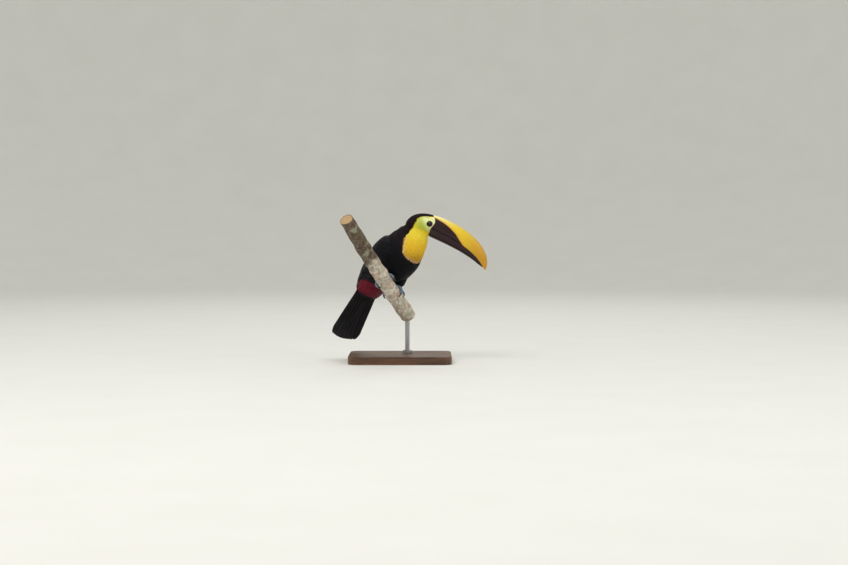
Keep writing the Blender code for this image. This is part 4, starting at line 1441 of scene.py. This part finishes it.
def quill(path, out, left_width, right_width, thickness, cup, notches, seed):
    """One long feather. path and out are the shaft's points and their outward directions, and
    the widths are given along it. Returns points, faces, and along and across for each."""
    rows, columns = len(path), 9
    run = unit(np.gradient(path, axis=0))
    side = unit(np.cross(run, out))
    out = np.cross(side, run)
    share = np.linspace(-1, 1, columns)
    along = quill_steps(rows)
    rng = np.random.default_rng(seed)
    nick = np.zeros(rows)
    for place in rng.uniform(0.35, 0.96, notches):
        nick += rng.uniform(0.02, 0.06) * bump(along, place, 0.008)
    width = np.where(share[None, :] < 0, left_width[:, None], right_width[:, None])
    width = width * (1 - nick[:, None] * (np.abs(share)[None, :] > 0.7))
    offset = width * share[None, :]
    shaft = np.maximum(1 - np.abs(share) * 7, 0)[None, :] * 0.0005 * (1.1 - along)[:, None]
    ripple = 0.00004 * np.sin(along * 46 + seed)[:, None] * np.abs(share)[None, :]
    top = thickness / 2 + shaft - cup * share[None, :] ** 2 + ripple
    low = -thickness / 2 - shaft * 0.6 - cup * share[None, :] ** 2 + ripple
    base = path[:, None, :] + side[:, None, :] * offset[..., None]
    upper = base + out[:, None, :] * top[..., None]
    lower = base + out[:, None, :] * low[..., None]
    ring = np.concatenate([upper, lower[:, ::-1]], axis=1)
    across = np.concatenate([share, share[::-1]])
    around = columns * 2
    places = np.repeat(along, around), np.tile(across, rows)
    return ring.reshape(-1, 3), ring_faces(rows, around), *places


def quill_outline(rows, width, tip_round=0.16, root_narrow=0.35):
    """Half widths along a long feather: narrow at the quill, even, then round at the tip."""
    along = quill_steps(rows)
    root = root_narrow + (1 - root_narrow) * ease(0.0, 0.35, along)
    end = np.sqrt(np.maximum(1 - (np.maximum(along - (1 - tip_round), 0) / tip_round) ** 2, 0.0))
    return width / 2 * root * np.maximum(end, 0.05)


def quill_piece(name, quills, reach, roots_uv, finish):
    """Joins long feathers into one coat piece with what its material and bake need."""
    points, faces = joined([(q[0], q[1]) for q in quills])
    mesh = new_mesh(name, points, faces, outward=True)
    rng = np.random.default_rng(len(quills))
    counts = [len(q[0]) for q in quills]
    along = np.concatenate([q[2] for q in quills])
    across = np.concatenate([q[3] for q in quills])
    record(mesh, "along", along)
    record(mesh, "across", across)
    record(mesh, "shade", np.repeat(rng.random(len(quills)), counts))
    record(mesh, "reach", np.repeat(reach, counts))
    patch = np.repeat(np.asarray(roots_uv), counts, axis=0)
    patch = patch + np.stack([across * 0.0015, along * 0.003], -1)
    layer = mesh.uv_layers.new(name="OFBake")
    corner = np.empty(len(mesh.loops), np.int32)
    mesh.loops.foreach_get("vertex_index", corner)
    layer.uv.foreach_set("vector", patch[corner].astype(np.float32).ravel())
    return new_object(name, mesh, finish)


# The wing's long feathers: how many, where their roots and tips are along the spine, where the
# first and the last lie between the wing's lower (0) and upper (1) edge, at the roots and then at
# the tips, their width, and their height over the wing.
WING_ROWS = {
    "primaries": (7, (0.060, -0.021), (0.06, 0.30), (0.14, 0.70), 0.0135, 0.0005),
    "secondaries": (9, (0.066, 0.000), (0.22, 0.76), (0.28, 0.82), 0.0150, 0.0011),
    "tertials": (4, (0.072, 0.008), (0.76, 0.93), (0.78, 0.95), 0.0165, 0.0017),
}


def wing_quills(side):
    """All the long feathers of one folded wing, the lower ones under the upper."""
    quills, reach, places = [], [], []
    rows = 26
    along = quill_steps(rows)
    for kind, (count, ends, root_share, tip_share, width, height) in WING_ROWS.items():
        for i in range(count):
            step = i / (count - 1)
            if kind == "primaries":
                shorter = 0.010 * step
            else:
                shorter = 0.004 * step + 0.0025 * math.sin(5.1 * i + 1.3 * count)
            at = ends[0] + (ends[1] + shorter - ends[0]) * along
            share = root_share[0] + (root_share[1] - root_share[0]) * step
            share_tip = tip_share[0] + (tip_share[1] - tip_share[0]) * step
            share = share + (share_tip - share) * along
            low, high, thick = wing_rows(at)
            turn = side * (low + (high - low) * share)
            crown = wing_crown(share, thick)
            lift = WING_GAP + crown * 0.42 - 0.0012 + height + 0.00016 * i
            lift = lift * (0.10 + 0.90 * ease(0.0, 0.45, along)) - 0.0006 * (1 - along)
            path = body_point(at, turn, lift)
            out = body_out(at, turn)
            half = quill_outline(rows, width * (1 - 0.15 * along), 0.14 if count > 6 else 0.10)
            quills.append(quill(path, out, half, half, 0.00030, 0.0004, 2, 40 + len(quills)))
            reach.append(np.linalg.norm(np.diff(path, axis=0), axis=1).sum())
            places.append((at[0], share[0]))
    places = np.array(places)
    low, high = places.min(axis=0), places.max(axis=0)
    uv = 0.02 + (places - low) / (high - low) * 0.95
    return quills, reach, uv


def make_wing(side, settings):
    """One folded wing: its long feathers, and coverts over their roots."""
    name = "left" if side > 0 else "right"
    quills, reach, uv = wing_quills(side)
    thing = quill_piece(f"wing_feathers_{name}", quills, reach, uv, shared(settings, "quills"))
    finished(thing)
    roots = all_roots()
    mask = roots.tracts[f"shoulder_{name}"] & (roots.at > COVERTS_END)
    blank, coat = contour_blank(), shared(settings, "coat")
    lay_feathers(f"shoulder_coverts_{name}", "shoulder", mask, blank, coat, settings, 31 + side)
    dropped(blank)


FINISHES = {}


def shared(settings, kind):
    """The coat's materials, each made once."""
    if kind not in FINISHES:
        FINISHES[kind] = {
            "coat": lambda: plumage_finish("Body plumage", settings),
            "silky": lambda: plumage_finish("Silky throat plumage", settings, 0.58, 16.0, 0.02, 0.10),
            "quills": quill_finish,
        }[kind]()
    return FINISHES[kind]


def tail_frame():
    """The tail's root, its run towards the tips, its left and its upper side."""
    root = body_frame(TAIL_START)[0][0]
    run = -heading(TAIL_YAW, TAIL_PITCH)
    left = rolled_left(TAIL_YAW, TAIL_PITCH, TAIL_ROLL)
    return root - left * TAIL_SWING, run, left, np.cross(left, run)


def make_tail(settings):
    """Ten tail feathers, the middle pair on top and each next pair under the one before."""
    root, run, left, up = tail_frame()
    rows, quills, reach, places = 44, [], [], []
    along = quill_steps(rows)
    root_width, tip_width = TAIL_HALF_WIDTH
    half_width = root_width + (tip_width - root_width) * np.minimum(along / 0.85, 1)
    for pair in range(5):
        for hand in (1, -1):
            fanned = (pair if pair else 0.35) / 4.0
            length = TAIL_LENGTH * (1 - 0.060 * (pair / 4) ** 2) - 0.0015
            width = 0.0225 - 0.0008 * pair
            inside = width * 0.43 * (0.4 + 0.6 * ease(0, 0.35, along))
            offset = hand * fanned * (half_width - inside)
            v = offset / half_width
            rise = TAIL_ARCH * (1 - v**2) * np.minimum(0.4 + along, 1)
            stack = 0.0014 - 0.00062 * pair - (0.0003 if hand < 0 else 0.0)
            path = root + run * (length * along)[:, None] + left * offset[:, None]
            path = path + up * (rise + stack)[:, None]
            out = unit(up + left * (v * 0.22)[:, None])
            outline = quill_outline(rows, width, 0.17, 0.40)
            outer = outline * (0.86 if pair else 1.0)
            inner = outline * (1.24 if pair else 1.0)
            widths = (inner, outer) if hand > 0 else (outer, inner)
            quills.append(quill(path, out, *widths, 0.00055, 0.0007, 4, 70 + len(quills)))
            reach.append(length)
            places.append((0.5 + 0.45 * hand * (pair + 0.5) / 5, 0.10 + 0.15 * pair))
    thing = quill_piece("tail_feathers", quills, reach, places, shared(settings, "quills"))
    finished(thing, ["tail"])


# ---------------------------------------------------------------- bill, eyes and claws
def bill_line(steps=60):
    """The bill's middle line, head frame: share of its length, x, z and droop in radians."""
    x, z, rows = 0.0, 0.0, []
    for k in range(steps + 1):
        share = k / steps
        droop = math.radians(BILL_DROOP + BILL_BEND * share + BILL_HOOK * share**4)
        rows.append((share, x, z, droop))
        x += BILL_LENGTH / steps * math.cos(droop)
        z -= BILL_LENGTH / steps * math.sin(droop)
    return np.array(rows)


def bill_section(share):
    """Centre, upward direction, half width, half depth and mouth height at shares of length."""
    line = bill_line()
    inside = np.maximum(share, 0.0)
    x, z, droop = (np.interp(inside, line[:, 0], line[:, c]) for c in (1, 2, 3))
    run = np.stack([np.cos(droop), 0 * droop, -np.sin(droop)], -1)
    centre = np.stack([x, 0 * x, z], -1) + run * (BILL_LENGTH * (share - inside))[:, None]
    taper = np.maximum(1 - inside**3, 0.0)
    root = 1 - 0.06 * np.maximum(1 - inside / 0.15, 0.0) ** 2
    depth = BILL_DEPTH / 2 * root * taper**0.7
    width = BILL_WIDTH / 2 * (0.30 + 0.70 * (1 - inside) ** 0.8) * taper**0.4
    lower = LOWER_SHARE[0] + (LOWER_SHARE[1] - LOWER_SHARE[0]) * inside
    up = np.stack([np.sin(droop), 0 * droop, np.cos(droop)], -1)
    return centre, up, width, depth, 2 * lower - 1


def face_over_bill(height):
    """How far the bare face covers the bill's root at that height, and not at all at the crown."""
    return face_edge(height) * (1 - ease(0.0185, 0.0210, height))


def mandible(upper):
    """One half of the bill: points, faces, and each point's share of its length and height."""
    end = 0.997 if upper else LOWER_END - 0.006
    spacing = np.linspace(0, 1, 150)
    share = -0.05 + (end + 0.05) * (1 - (1 - spacing) ** 1.35)
    centre, up, width, depth, meet = bill_section(share)
    sides = 49
    edge = meet + (MOUTH_GAP / depth) * (0.5 if upper else -0.5)
    limit = np.arccos(np.clip(edge if upper else -edge, -1, 1))[:, None]
    turn = limit * np.linspace(-1, 1, sides)[None, :]
    height = np.cos(turn) * (1 if upper else -1)
    if not upper:
        shut = np.sqrt(np.maximum(1 - (np.maximum(share - 0.86, 0) / (end - 0.855)) ** 2, 0.0004))
        height = edge[:, None] + (height - edge[:, None]) * shut[:, None]
    side = np.sign(turn) * np.abs(np.sin(turn)) ** 0.85 * (1.0 if upper else 0.965)
    if upper:
        near_edge = ease(0.93, 1.0, np.abs(np.linspace(-1, 1, sides)))[None, :]
        along = share[:, None] * BILL_LENGTH
        saw = np.abs(np.sin(along / 0.0060 * math.pi + 0.6 * np.sin(along * 180)))
        tooth = near_edge * saw * 0.00040 * ease(0.10, 0.25, share)[:, None]
        ridge = bump(turn, 0.0, 0.16) * 0.0006 * ease(1.0, 0.8, share)[:, None]
    else:
        tooth = 0.0
        ridge = -bump(turn, 0.0, 0.10) * 0.0003
    groove = -0.00035 * bump(np.abs(turn) / limit, 0.90, 0.035)
    rise = depth[:, None] * height + tooth + ridge
    breadth = width[:, None] * side * (1 + groove / width[:, None])
    # Behind its cutting edge the upper half is hollow, and the lower half stands up into it.
    thin = np.minimum(depth / 0.012, 1.0)[:, None]
    inner_rise = rise[:, [-1, 0]] + (0.0018 if upper else 0.0011) * thin
    rise = np.hstack([rise, inner_rise])
    breadth = np.hstack([breadth, breadth[:, [-1, 0]] * (0.92 if upper else 0.84)])
    flat = centre[:, None, :] + up[:, None, :] * rise[..., None]
    points = flat + np.array((0, 1, 0)) * breadth[..., None]
    # Under the face the root is a little smaller, so that it stays out of sight.
    under = face_over_bill(points[..., 2]) - points[..., 0]
    shrink = 0.065 * ease(0.0002, 0.0026, under)
    points[..., 1:] *= 1 - shrink[..., None]
    faces = ring_faces(len(share), sides + 2)
    helpers = np.repeat(share, sides + 2), (rise / depth[:, None]).ravel()
    return from_head(points).reshape(-1, 3), faces, *helpers


def make_bill(settings):
    """Both mandibles, with the culmen stripe and the seam at the root worked out for each point."""
    finish = bill_finish(settings)
    for name, upper in (("bill_upper_horn", True), ("bill_lower_horn", False)):
        points, faces, share, height = mandible(upper)
        mesh = new_mesh(name, points, faces, outward=True)
        place = to_head(points)
        depth = bill_section(share)[3]
        border = np.interp(share, STRIPE[:, 0], STRIPE[:, 1])
        stripe = (height - border) * np.maximum(depth, 0.004)
        if not upper:
            stripe = np.full(len(points), -0.02)
        record(mesh, "share", share)
        record(mesh, "height", height)
        record(mesh, "stripe", stripe)
        record(mesh, "root", place[:, 0] - face_over_bill(place[:, 2]))
        thing = new_object(name, mesh, finish)
        node = "bill_upper" if upper else "bill_lower"
        finished(thing, [node])


def make_eyes(settings):
    """Both eyes, with a slightly domed cornea over the iris."""
    finish = eye_finish(settings)
    for name, side in (("left", 1), ("right", -1)):
        rings, sides = 40, 64
        away = np.linspace(0.012, math.pi - 0.012, rings)[:, None]
        spoke = np.linspace(0, math.tau, sides, endpoint=False)[None, :]
        radius = EYE_RADIUS - 0.00008 + 0.00035 * bump(away, 0.0, 0.42)
        axis = unit(np.array((0.22, side * 1.0, 0.02)))
        across = unit(np.cross(axis, (0, 0, 1.0)))
        rise = np.cross(across, axis)
        points = axis * (np.cos(away) * radius)[..., None]
        points = points + across * (np.sin(away) * np.cos(spoke) * radius)[..., None]
        points = points + rise * (np.sin(away) * np.sin(spoke) * radius)[..., None]
        place = from_head(points + EYE_PLACE * np.array((1, side, 1)))
        mesh = new_mesh(f"eyeball_{name}", place.reshape(-1, 3), ring_faces(rings, sides), True)
        record(mesh, "gaze", np.repeat(away.ravel(), sides))
        record(mesh, "spoke", np.tile(np.abs(spoke.ravel() - math.pi) * 8, rings))
        finished(new_object(f"eyeball_{name}", mesh, finish), [f"eye_{name}"])


def make_claws():
    """The eight claws, rounded from their solids."""
    finish = claw_finish()
    for side in ("left", "right"):
        for number in (1, 2, 3, 4):
            node = f"claw_{number}_{side}"
            mesh = new_mesh(f"talon_{number}_{side}", *cad_copy(node, 2))
            finished(new_object(mesh.name, mesh, finish), [node])


# ---------------------------------------------------------------- perch and stand
def bark_relief(points, along):
    """The bark's lumps and cracks in metres, and how deep its cracks and hollows are, 0 to 1."""
    knobbly = 0.4 + 0.9 * bump(along, 0.015, 0.055)
    knobs = wander(points, 0.008, 2.0)
    lump = wander(points, 0.022, 1.0) * 0.0011 + knobs * 0.0012 * knobbly
    stretched = points - BRANCH_RUN * dot(points - BRANCH_GRIP, BRANCH_RUN)[:, None] * 0.72
    ridge = np.abs(wander(stretched, 0.0042, 4.0))
    crack = np.exp(-((ridge / 0.10) ** 2)) * ease(-0.1, 0.35, wander(points, 0.03, 6.0))
    fine = wander(points, 0.0028, 8.0) * 0.00022
    upper = ease(0.0, 0.06, along)
    hollow = ease(-0.15, -0.75, knobs) * knobbly * 0.7
    return lump + fine - crack * (0.0005 + 0.0006 * upper) - 0.0009, np.maximum(crack, hollow)


def near_feet(along):
    """1 where a foot holds the branch, and 0 away from it."""
    share = np.zeros_like(along)
    for place, _ in FEET.values():
        share = np.maximum(share, 1 - ease(0.013, 0.020, np.abs(along - place)))
    return share


def branch_shell():
    """The branch's bark as a fine tube with knots, a burl and two cut ends."""
    rows, sides = 300, 120
    along = np.concatenate(
        [[-BRANCH_DOWN] * 5, np.linspace(-BRANCH_DOWN, BRANCH_UP, rows), [BRANCH_UP] * 5]
    )
    inset = np.concatenate([[0.0, 0.3, 0.6, 0.85, 0.95], np.ones(rows), [0.95, 0.85, 0.6, 0.3, 0.0]])
    inset = np.maximum(inset, 0.02)
    middle, radius = branch_at(along)
    turn = np.linspace(0, math.tau, sides, endpoint=False)
    deep = np.cross(BRANCH_RUN, BRANCH_SIDE)
    spoke = BRANCH_SIDE * np.cos(turn)[:, None] + deep * np.sin(turn)[:, None]
    knots = sum(bump(along, knot, 0.012) for knot in KNOTS)
    swell = radius * (1 + 0.10 * knots)
    flat = (0.96 + 0.03 * np.sin(60 * along))[:, None]
    oval = np.sqrt(np.cos(turn)[None, :] ** 2 + (flat * np.sin(turn)[None, :]) ** 2)
    size = swell[:, None] * oval
    base = middle[:, None, :] + spoke[None] * size[..., None]
    along_of = np.repeat(along, sides)
    relief, crack = bark_relief(base.reshape(-1, 3), along_of)
    held = near_feet(along_of)
    relief = relief * (1 - held) + np.minimum(relief, -0.0003) * 0.5 * held
    burl_side = unit(np.array((0.75, -0.62, -0.25)))
    burl_place = branch_at(0.004)[0] + burl_side * 0.0150
    gap = np.linalg.norm(base.reshape(-1, 3) - burl_place, axis=1)
    lumps = 1 + 0.35 * wander(base.reshape(-1, 3), 0.006, 12.0)
    burl = 0.0050 * np.exp(-((gap / 0.0125) ** 2)) * lumps * (1 - held)
    lift = (relief + burl).reshape(len(along), sides)
    size = (size + lift) * inset[:, None]
    points = middle[:, None, :] + spoke[None] * size[..., None]
    end = (inset < 0.999).astype(float)
    ragged = wander(points.reshape(-1, 3), 0.004, 9.0).reshape(len(along), sides) * 0.0002
    points = points + BRANCH_RUN * (ragged * end[:, None])[..., None]
    cut = np.repeat((inset < 0.93).astype(float), sides)
    return points.reshape(-1, 3), ring_faces(len(along), sides), crack, cut, size.ravel()


def stub_shell(knot, turn, length, radius):
    """A broken twig that grows from a knot."""
    middle, thick = branch_at(knot)
    out = np.array(Matrix.Rotation(math.radians(turn), 3, Vector(BRANCH_RUN)) @ Vector(BRANCH_SIDE))
    out = unit(out + BRANCH_RUN * 0.7)
    across = unit(np.cross(out, BRANCH_RUN))
    deep = np.cross(out, across)
    share = np.linspace(0, 1, 20)
    size = radius * (1.6 - 0.8 * ease(0.0, 0.5, share))
    size[-1] *= 0.80
    turn = np.linspace(0, math.tau, 28, endpoint=False)
    spoke = across * np.cos(turn)[:, None] + deep * np.sin(turn)[:, None]
    middle = middle + out * (thick * 0.5 + (thick * 0.5 + length) * share)[:, None]
    points = middle[:, None, :] + spoke[None] * size[:, None, None]
    wobble = wander(points.reshape(-1, 3), 0.005, 5.0).reshape(20, 28) * 0.0004
    broken = wander(points.reshape(-1, 3), 0.0025, 7.0).reshape(20, 28) * 0.0014
    broken = broken * (share > 0.9)[:, None]
    points = points + spoke[None] * wobble[..., None] + out * broken[..., None]
    return points.reshape(-1, 3), ring_faces(20, 28)


def make_perch(settings):
    """The cut branch with its bark, its cut ends and its broken twigs."""
    points, faces, crack, cut, size = branch_shell()
    stubs = [
        stub_shell(KNOTS[0], 100, 0.012, 0.005),
        stub_shell(KNOTS[1], -60, 0.008, 0.0045),
    ]
    everything, all_faces = joined([(points, faces), *stubs])
    mesh = new_mesh("perch_bark", everything, all_faces, outward=True)
    extra = len(everything) - len(points)
    rise = dot(everything - BRANCH_GRIP, BRANCH_RUN)
    record(mesh, "rise", ease(-0.06, 0.12, rise))
    record(mesh, "crevice", np.concatenate([crack, np.zeros(extra)]))
    record(mesh, "cut", np.concatenate([cut, np.zeros(extra)]))
    record(mesh, "ring", np.concatenate([size, np.zeros(extra)]))
    finished(new_object("perch_bark", mesh, bark_finish(settings)), ["perch_branch"])


def finish_stand(settings):
    """Gives the stand's own solids their wood and steel."""
    wood, steel = base_finish(settings), steel_finish()
    for node, finish in (("stand_base", wood), ("stand_rod", steel), ("stand_collar", steel)):
        CAD[node].data.materials.clear()
        CAD[node].data.materials.append(finish)


# ---------------------------------------------------------------- stage
VIEW_MIDDLE = (0.0535, -0.03, 0.1795)


def make_floor(settings):
    """A pale round floor that curves up on all sides into a backdrop."""
    bend = np.linspace(0, math.pi / 2, 20)
    reach = np.concatenate([[0.3, 1.5, 3.0, 4.0], 4.2 + 2.6 * np.sin(bend), [6.8, 6.8]])
    height = np.concatenate([np.zeros(4), 2.6 - 2.6 * np.cos(bend), [4.0, 6.5]])
    turn = np.linspace(0, math.tau, 96, endpoint=False)
    reach, height = reach[:, None], height[:, None] + 0 * turn
    points = np.stack([reach * np.cos(turn), reach * np.sin(turn), height], -1).reshape(-1, 3)
    faces = [face[::-1] for face in ring_faces(len(reach), 96, closed=False)]
    faces.append(list(range(96)))
    mesh = new_mesh("floor", points, faces)
    new_object("floor", mesh, floor_finish(settings))


def add_light(name, place, aim, size, power, colour):
    """One soft square light that looks at a point."""
    data = bpy.data.lights.new(name, "AREA")
    data.shape = "DISK"
    data.size, data.energy, data.color = size, power, colour
    lamp = bpy.data.objects.new(name, data)
    lamp.location = place
    lamp.rotation_mode = "QUATERNION"
    lamp.rotation_quaternion = (Vector(aim) - Vector(place)).to_track_quat("-Z", "Y")
    bpy.context.scene.collection.objects.link(lamp)


def make_camera(settings):
    """The camera: a little over the level, with the bird left of the middle and small."""
    aim = Vector(VIEW_MIDDLE)
    rise = math.radians(settings.camera_rise)
    back = Vector((0.0, -math.cos(rise), math.sin(rise)))
    data = bpy.data.cameras.new("camera")
    data.sensor_width = 36.0
    data.lens = 36.0 * settings.camera_distance / settings.view_width
    data.clip_start, data.clip_end = 0.05, 60.0
    camera = bpy.data.objects.new("camera", data)
    camera.location = aim + back * settings.camera_distance
    camera.rotation_mode = "QUATERNION"
    camera.rotation_quaternion = (-back).to_track_quat("-Z", "Y")
    bpy.context.scene.collection.objects.link(camera)
    bpy.context.scene.camera = camera


def make_stage(settings):
    """Floor, soft lights, a dim grey world and the camera."""
    make_floor(settings)
    aim = (0.03, 0.0, 0.22)
    power = settings.light_power
    add_light("key_light", (-1.3, -2.6, 3.4), aim, 2.4, power, (1.0, 0.985, 0.96))
    add_light("fill_light", (2.8, -2.0, 1.6), aim, 2.4, power * 0.30, (0.97, 0.99, 1.0))
    add_light("rim_light", (0.4, 2.4, 3.2), aim, 1.8, power * 0.28, (1.0, 1.0, 1.0))
    world = bpy.data.worlds.new("studio")
    world.use_nodes = True
    filled(world.node_tree.nodes["Background"], {"Color": "#F2F3F0", "Strength": 0.80})
    bpy.context.scene.world = world
    bpy.context.scene.view_settings.view_transform = "Standard"
    make_camera(settings)


# ---------------------------------------------------------------- settings
def colour_setting(name, description, code):
    return bpy.props.FloatVectorProperty(
        name=name,
        description=description,
        subtype="COLOR",
        size=3,
        min=0.0,
        max=1.0,
        default=linear(code),
    )


def number_setting(name, description, default, low, high, **kind):
    return bpy.props.FloatProperty(
        name=name, description=description, default=default, min=low, max=high, **kind
    )


class TOUCAN_PG_plumage(bpy.types.PropertyGroup):
    """Sizes and colours of the coat and the bare face"""

    feather_size: number_setting(
        "Feather size", "Scale of every small feather and its spacing", 1.0, 0.6, 2.0, subtype="FACTOR"
    )
    bib_top: colour_setting("Bib, top", "The throat's yellow under the face", "#F8E240")
    bib_middle: colour_setting("Bib, middle", "The golden middle of the bib", "#F5C62E")
    # The bib's low yellow is darker than its own colour: painted shade.
    bib_low_shaded: colour_setting("Bib, low", "The bib's deepest yellow, by its end", "#B47E1C")
    crissum_colour: colour_setting("Under tail", "The red of the under-tail coverts", "#800C28")
    face_front: colour_setting("Face, front", "Bare skin in front of and over the eye", "#D9E09C")
    face_back: colour_setting("Face, back", "Bare skin behind the eye", "#A6AE0E")


class TOUCAN_PG_head(bpy.types.PropertyGroup):
    """Colours of the bill and the eyes"""

    culmen_base: colour_setting("Ridge, base", "The stripe along the bill's ridge", "#ECE68A")
    culmen_middle: colour_setting("Ridge, middle", "The stripe halfway along the bill", "#DFC02C")
    culmen_tip: colour_setting("Ridge, tip", "The stripe and hook near the tip", "#BE8612")
    bill_dark: colour_setting("Bill sides", "The chestnut black of the sides", "#270F14")
    iris: colour_setting("Iris", "The ring round the pupil", "#1A0F08")


class TOUCAN_PG_perch(bpy.types.PropertyGroup):
    """Colours of the perch and its stand"""

    bark_pale: colour_setting("Bark, low", "The bare pale bark", "#E2D9C9")
    bark_dark: colour_setting("Bark, high", "The weathered bark towards the top", "#5A4A38")
    base_wood: colour_setting("Base", "The oiled wood of the base", "#3E2617")


class TOUCAN_PG_stage(bpy.types.PropertyGroup):
    """The floor, the lights and the camera"""

    floor_colour: colour_setting("Floor", "The pale floor and backdrop", "#DEDDD8")
    light_power: number_setting(
        "Light", "Power of the main light", 88.0, 0.0, 2000.0, unit="POWER"
    )
    camera_distance: number_setting(
        "Camera distance", "From the camera to the bird", 4.0, 0.5, 50.0, unit="LENGTH"
    )
    camera_rise: number_setting(
        "Camera height angle", "How far the camera looks down, in degrees", 2.0, 0.0, 80.0
    )
    view_width: number_setting(
        "View width", "Width of the picture at the bird", 1.891, 0.2, 10.0, unit="LENGTH"
    )


# ---------------------------------------------------------------- operators
class TOUCAN_OT_skin(bpy.types.Operator):
    """Make the skin with the bare face, the lids and the scaly feet"""

    bl_idname = "toucan.skin"
    bl_label = "Skin"

    def execute(self, context):
        make_skin(context.scene.toucan_plumage)
        return {"FINISHED"}


class TOUCAN_OT_head_feathers(bpy.types.Operator):
    """Lay the feathers of the crown and nape and the yellow bib"""

    bl_idname = "toucan.head_feathers"
    bl_label = "Head feathers"

    def execute(self, context):
        settings = context.scene.toucan_plumage
        tracts, finish = all_roots().tracts, shared(settings, "silky")
        blank = silky_blank()
        for kind, seed in (("crown", 3), ("bib", 5)):
            lay_feathers(f"{kind}_feathers", kind, tracts[kind], blank, finish, settings, seed)
        dropped(blank)
        return {"FINISHED"}


class TOUCAN_OT_body_feathers(bpy.types.Operator):
    """Lay the feathers of the breast, back, rump, under tail and thighs"""

    bl_idname = "toucan.body_feathers"
    bl_label = "Body feathers"

    def execute(self, context):
        settings = context.scene.toucan_plumage
        tracts, finish = all_roots().tracts, shared(settings, "coat")
        blank = contour_blank()
        for i, kind in enumerate(("breast", "back", "rump", "crissum", "thigh")):
            name = f"{kind}_feathers"
            lay_feathers(name, kind, tracts[kind], blank, finish, settings, 11 + 2 * i)
        dropped(blank)
        return {"FINISHED"}


class TOUCAN_OT_wings(bpy.types.Operator):
    """Make both folded wings"""

    bl_idname = "toucan.wings"
    bl_label = "Wings"

    def execute(self, context):
        for side in (1, -1):
            make_wing(side, context.scene.toucan_plumage)
        return {"FINISHED"}


class TOUCAN_OT_tail(bpy.types.Operator):
    """Make the ten tail feathers"""

    bl_idname = "toucan.tail"
    bl_label = "Tail"

    def execute(self, context):
        make_tail(context.scene.toucan_plumage)
        return {"FINISHED"}


class TOUCAN_OT_bill(bpy.types.Operator):
    """Make the two halves of the bill"""

    bl_idname = "toucan.bill"
    bl_label = "Bill"

    def execute(self, context):
        make_bill(context.scene.toucan_head)
        return {"FINISHED"}


class TOUCAN_OT_eyes(bpy.types.Operator):
    """Make the two eyes"""

    bl_idname = "toucan.eyes"
    bl_label = "Eyes"

    def execute(self, context):
        make_eyes(context.scene.toucan_head)
        return {"FINISHED"}


class TOUCAN_OT_claws(bpy.types.Operator):
    """Make the eight claws"""

    bl_idname = "toucan.claws"
    bl_label = "Claws"

    def execute(self, context):
        make_claws()
        return {"FINISHED"}


class TOUCAN_OT_perch(bpy.types.Operator):
    """Make the perch and finish its stand"""

    bl_idname = "toucan.perch"
    bl_label = "Perch and stand"

    def execute(self, context):
        make_perch(context.scene.toucan_perch)
        finish_stand(context.scene.toucan_perch)
        return {"FINISHED"}


class TOUCAN_OT_stage(bpy.types.Operator):
    """Make the floor, the lights and the camera"""

    bl_idname = "toucan.stage"
    bl_label = "Stage"

    def execute(self, context):
        make_stage(context.scene.toucan_stage)
        return {"FINISHED"}


OPERATORS = (
    TOUCAN_OT_stage,
    TOUCAN_OT_skin,
    TOUCAN_OT_head_feathers,
    TOUCAN_OT_body_feathers,
    TOUCAN_OT_wings,
    TOUCAN_OT_tail,
    TOUCAN_OT_bill,
    TOUCAN_OT_eyes,
    TOUCAN_OT_claws,
    TOUCAN_OT_perch,
)
GROUPS = {
    "toucan_plumage": TOUCAN_PG_plumage,
    "toucan_head": TOUCAN_PG_head,
    "toucan_perch": TOUCAN_PG_perch,
    "toucan_stage": TOUCAN_PG_stage,
}


class TOUCAN_PT_panel(bpy.types.Panel):
    """Lists the toucan's pieces and settings"""

    bl_label = "Toucan on a Perch"
    bl_idname = "TOUCAN_PT_panel"
    bl_space_type = "VIEW_3D"
    bl_region_type = "UI"
    bl_category = "Toucan"

    def draw(self, context):
        for name, group in GROUPS.items():
            box = self.layout.box()
            box.label(text=group.__doc__)
            for setting in group.__annotations__:
                box.prop(getattr(context.scene, name), setting)
        for operator in OPERATORS:
            self.layout.operator(operator.bl_idname)


def register():
    for group in GROUPS.values():
        bpy.utils.register_class(group)
    for operator in OPERATORS:
        bpy.utils.register_class(operator)
    bpy.utils.register_class(TOUCAN_PT_panel)
    for name, group in GROUPS.items():
        setattr(bpy.types.Scene, name, bpy.props.PointerProperty(type=group))


def unregister():
    for name in GROUPS:
        delattr(bpy.types.Scene, name)
    bpy.utils.unregister_class(TOUCAN_PT_panel)
    for operator in reversed(OPERATORS):
        bpy.utils.unregister_class(operator)
    for group in reversed(list(GROUPS.values())):
        bpy.utils.unregister_class(group)


def main():
    """Registers the classes and makes every piece in order."""
    register()
    for operator in OPERATORS:
        group, _, name = operator.bl_idname.partition(".")
        getattr(getattr(bpy.ops, group), name)()


if __name__ == "__main__":
    main()
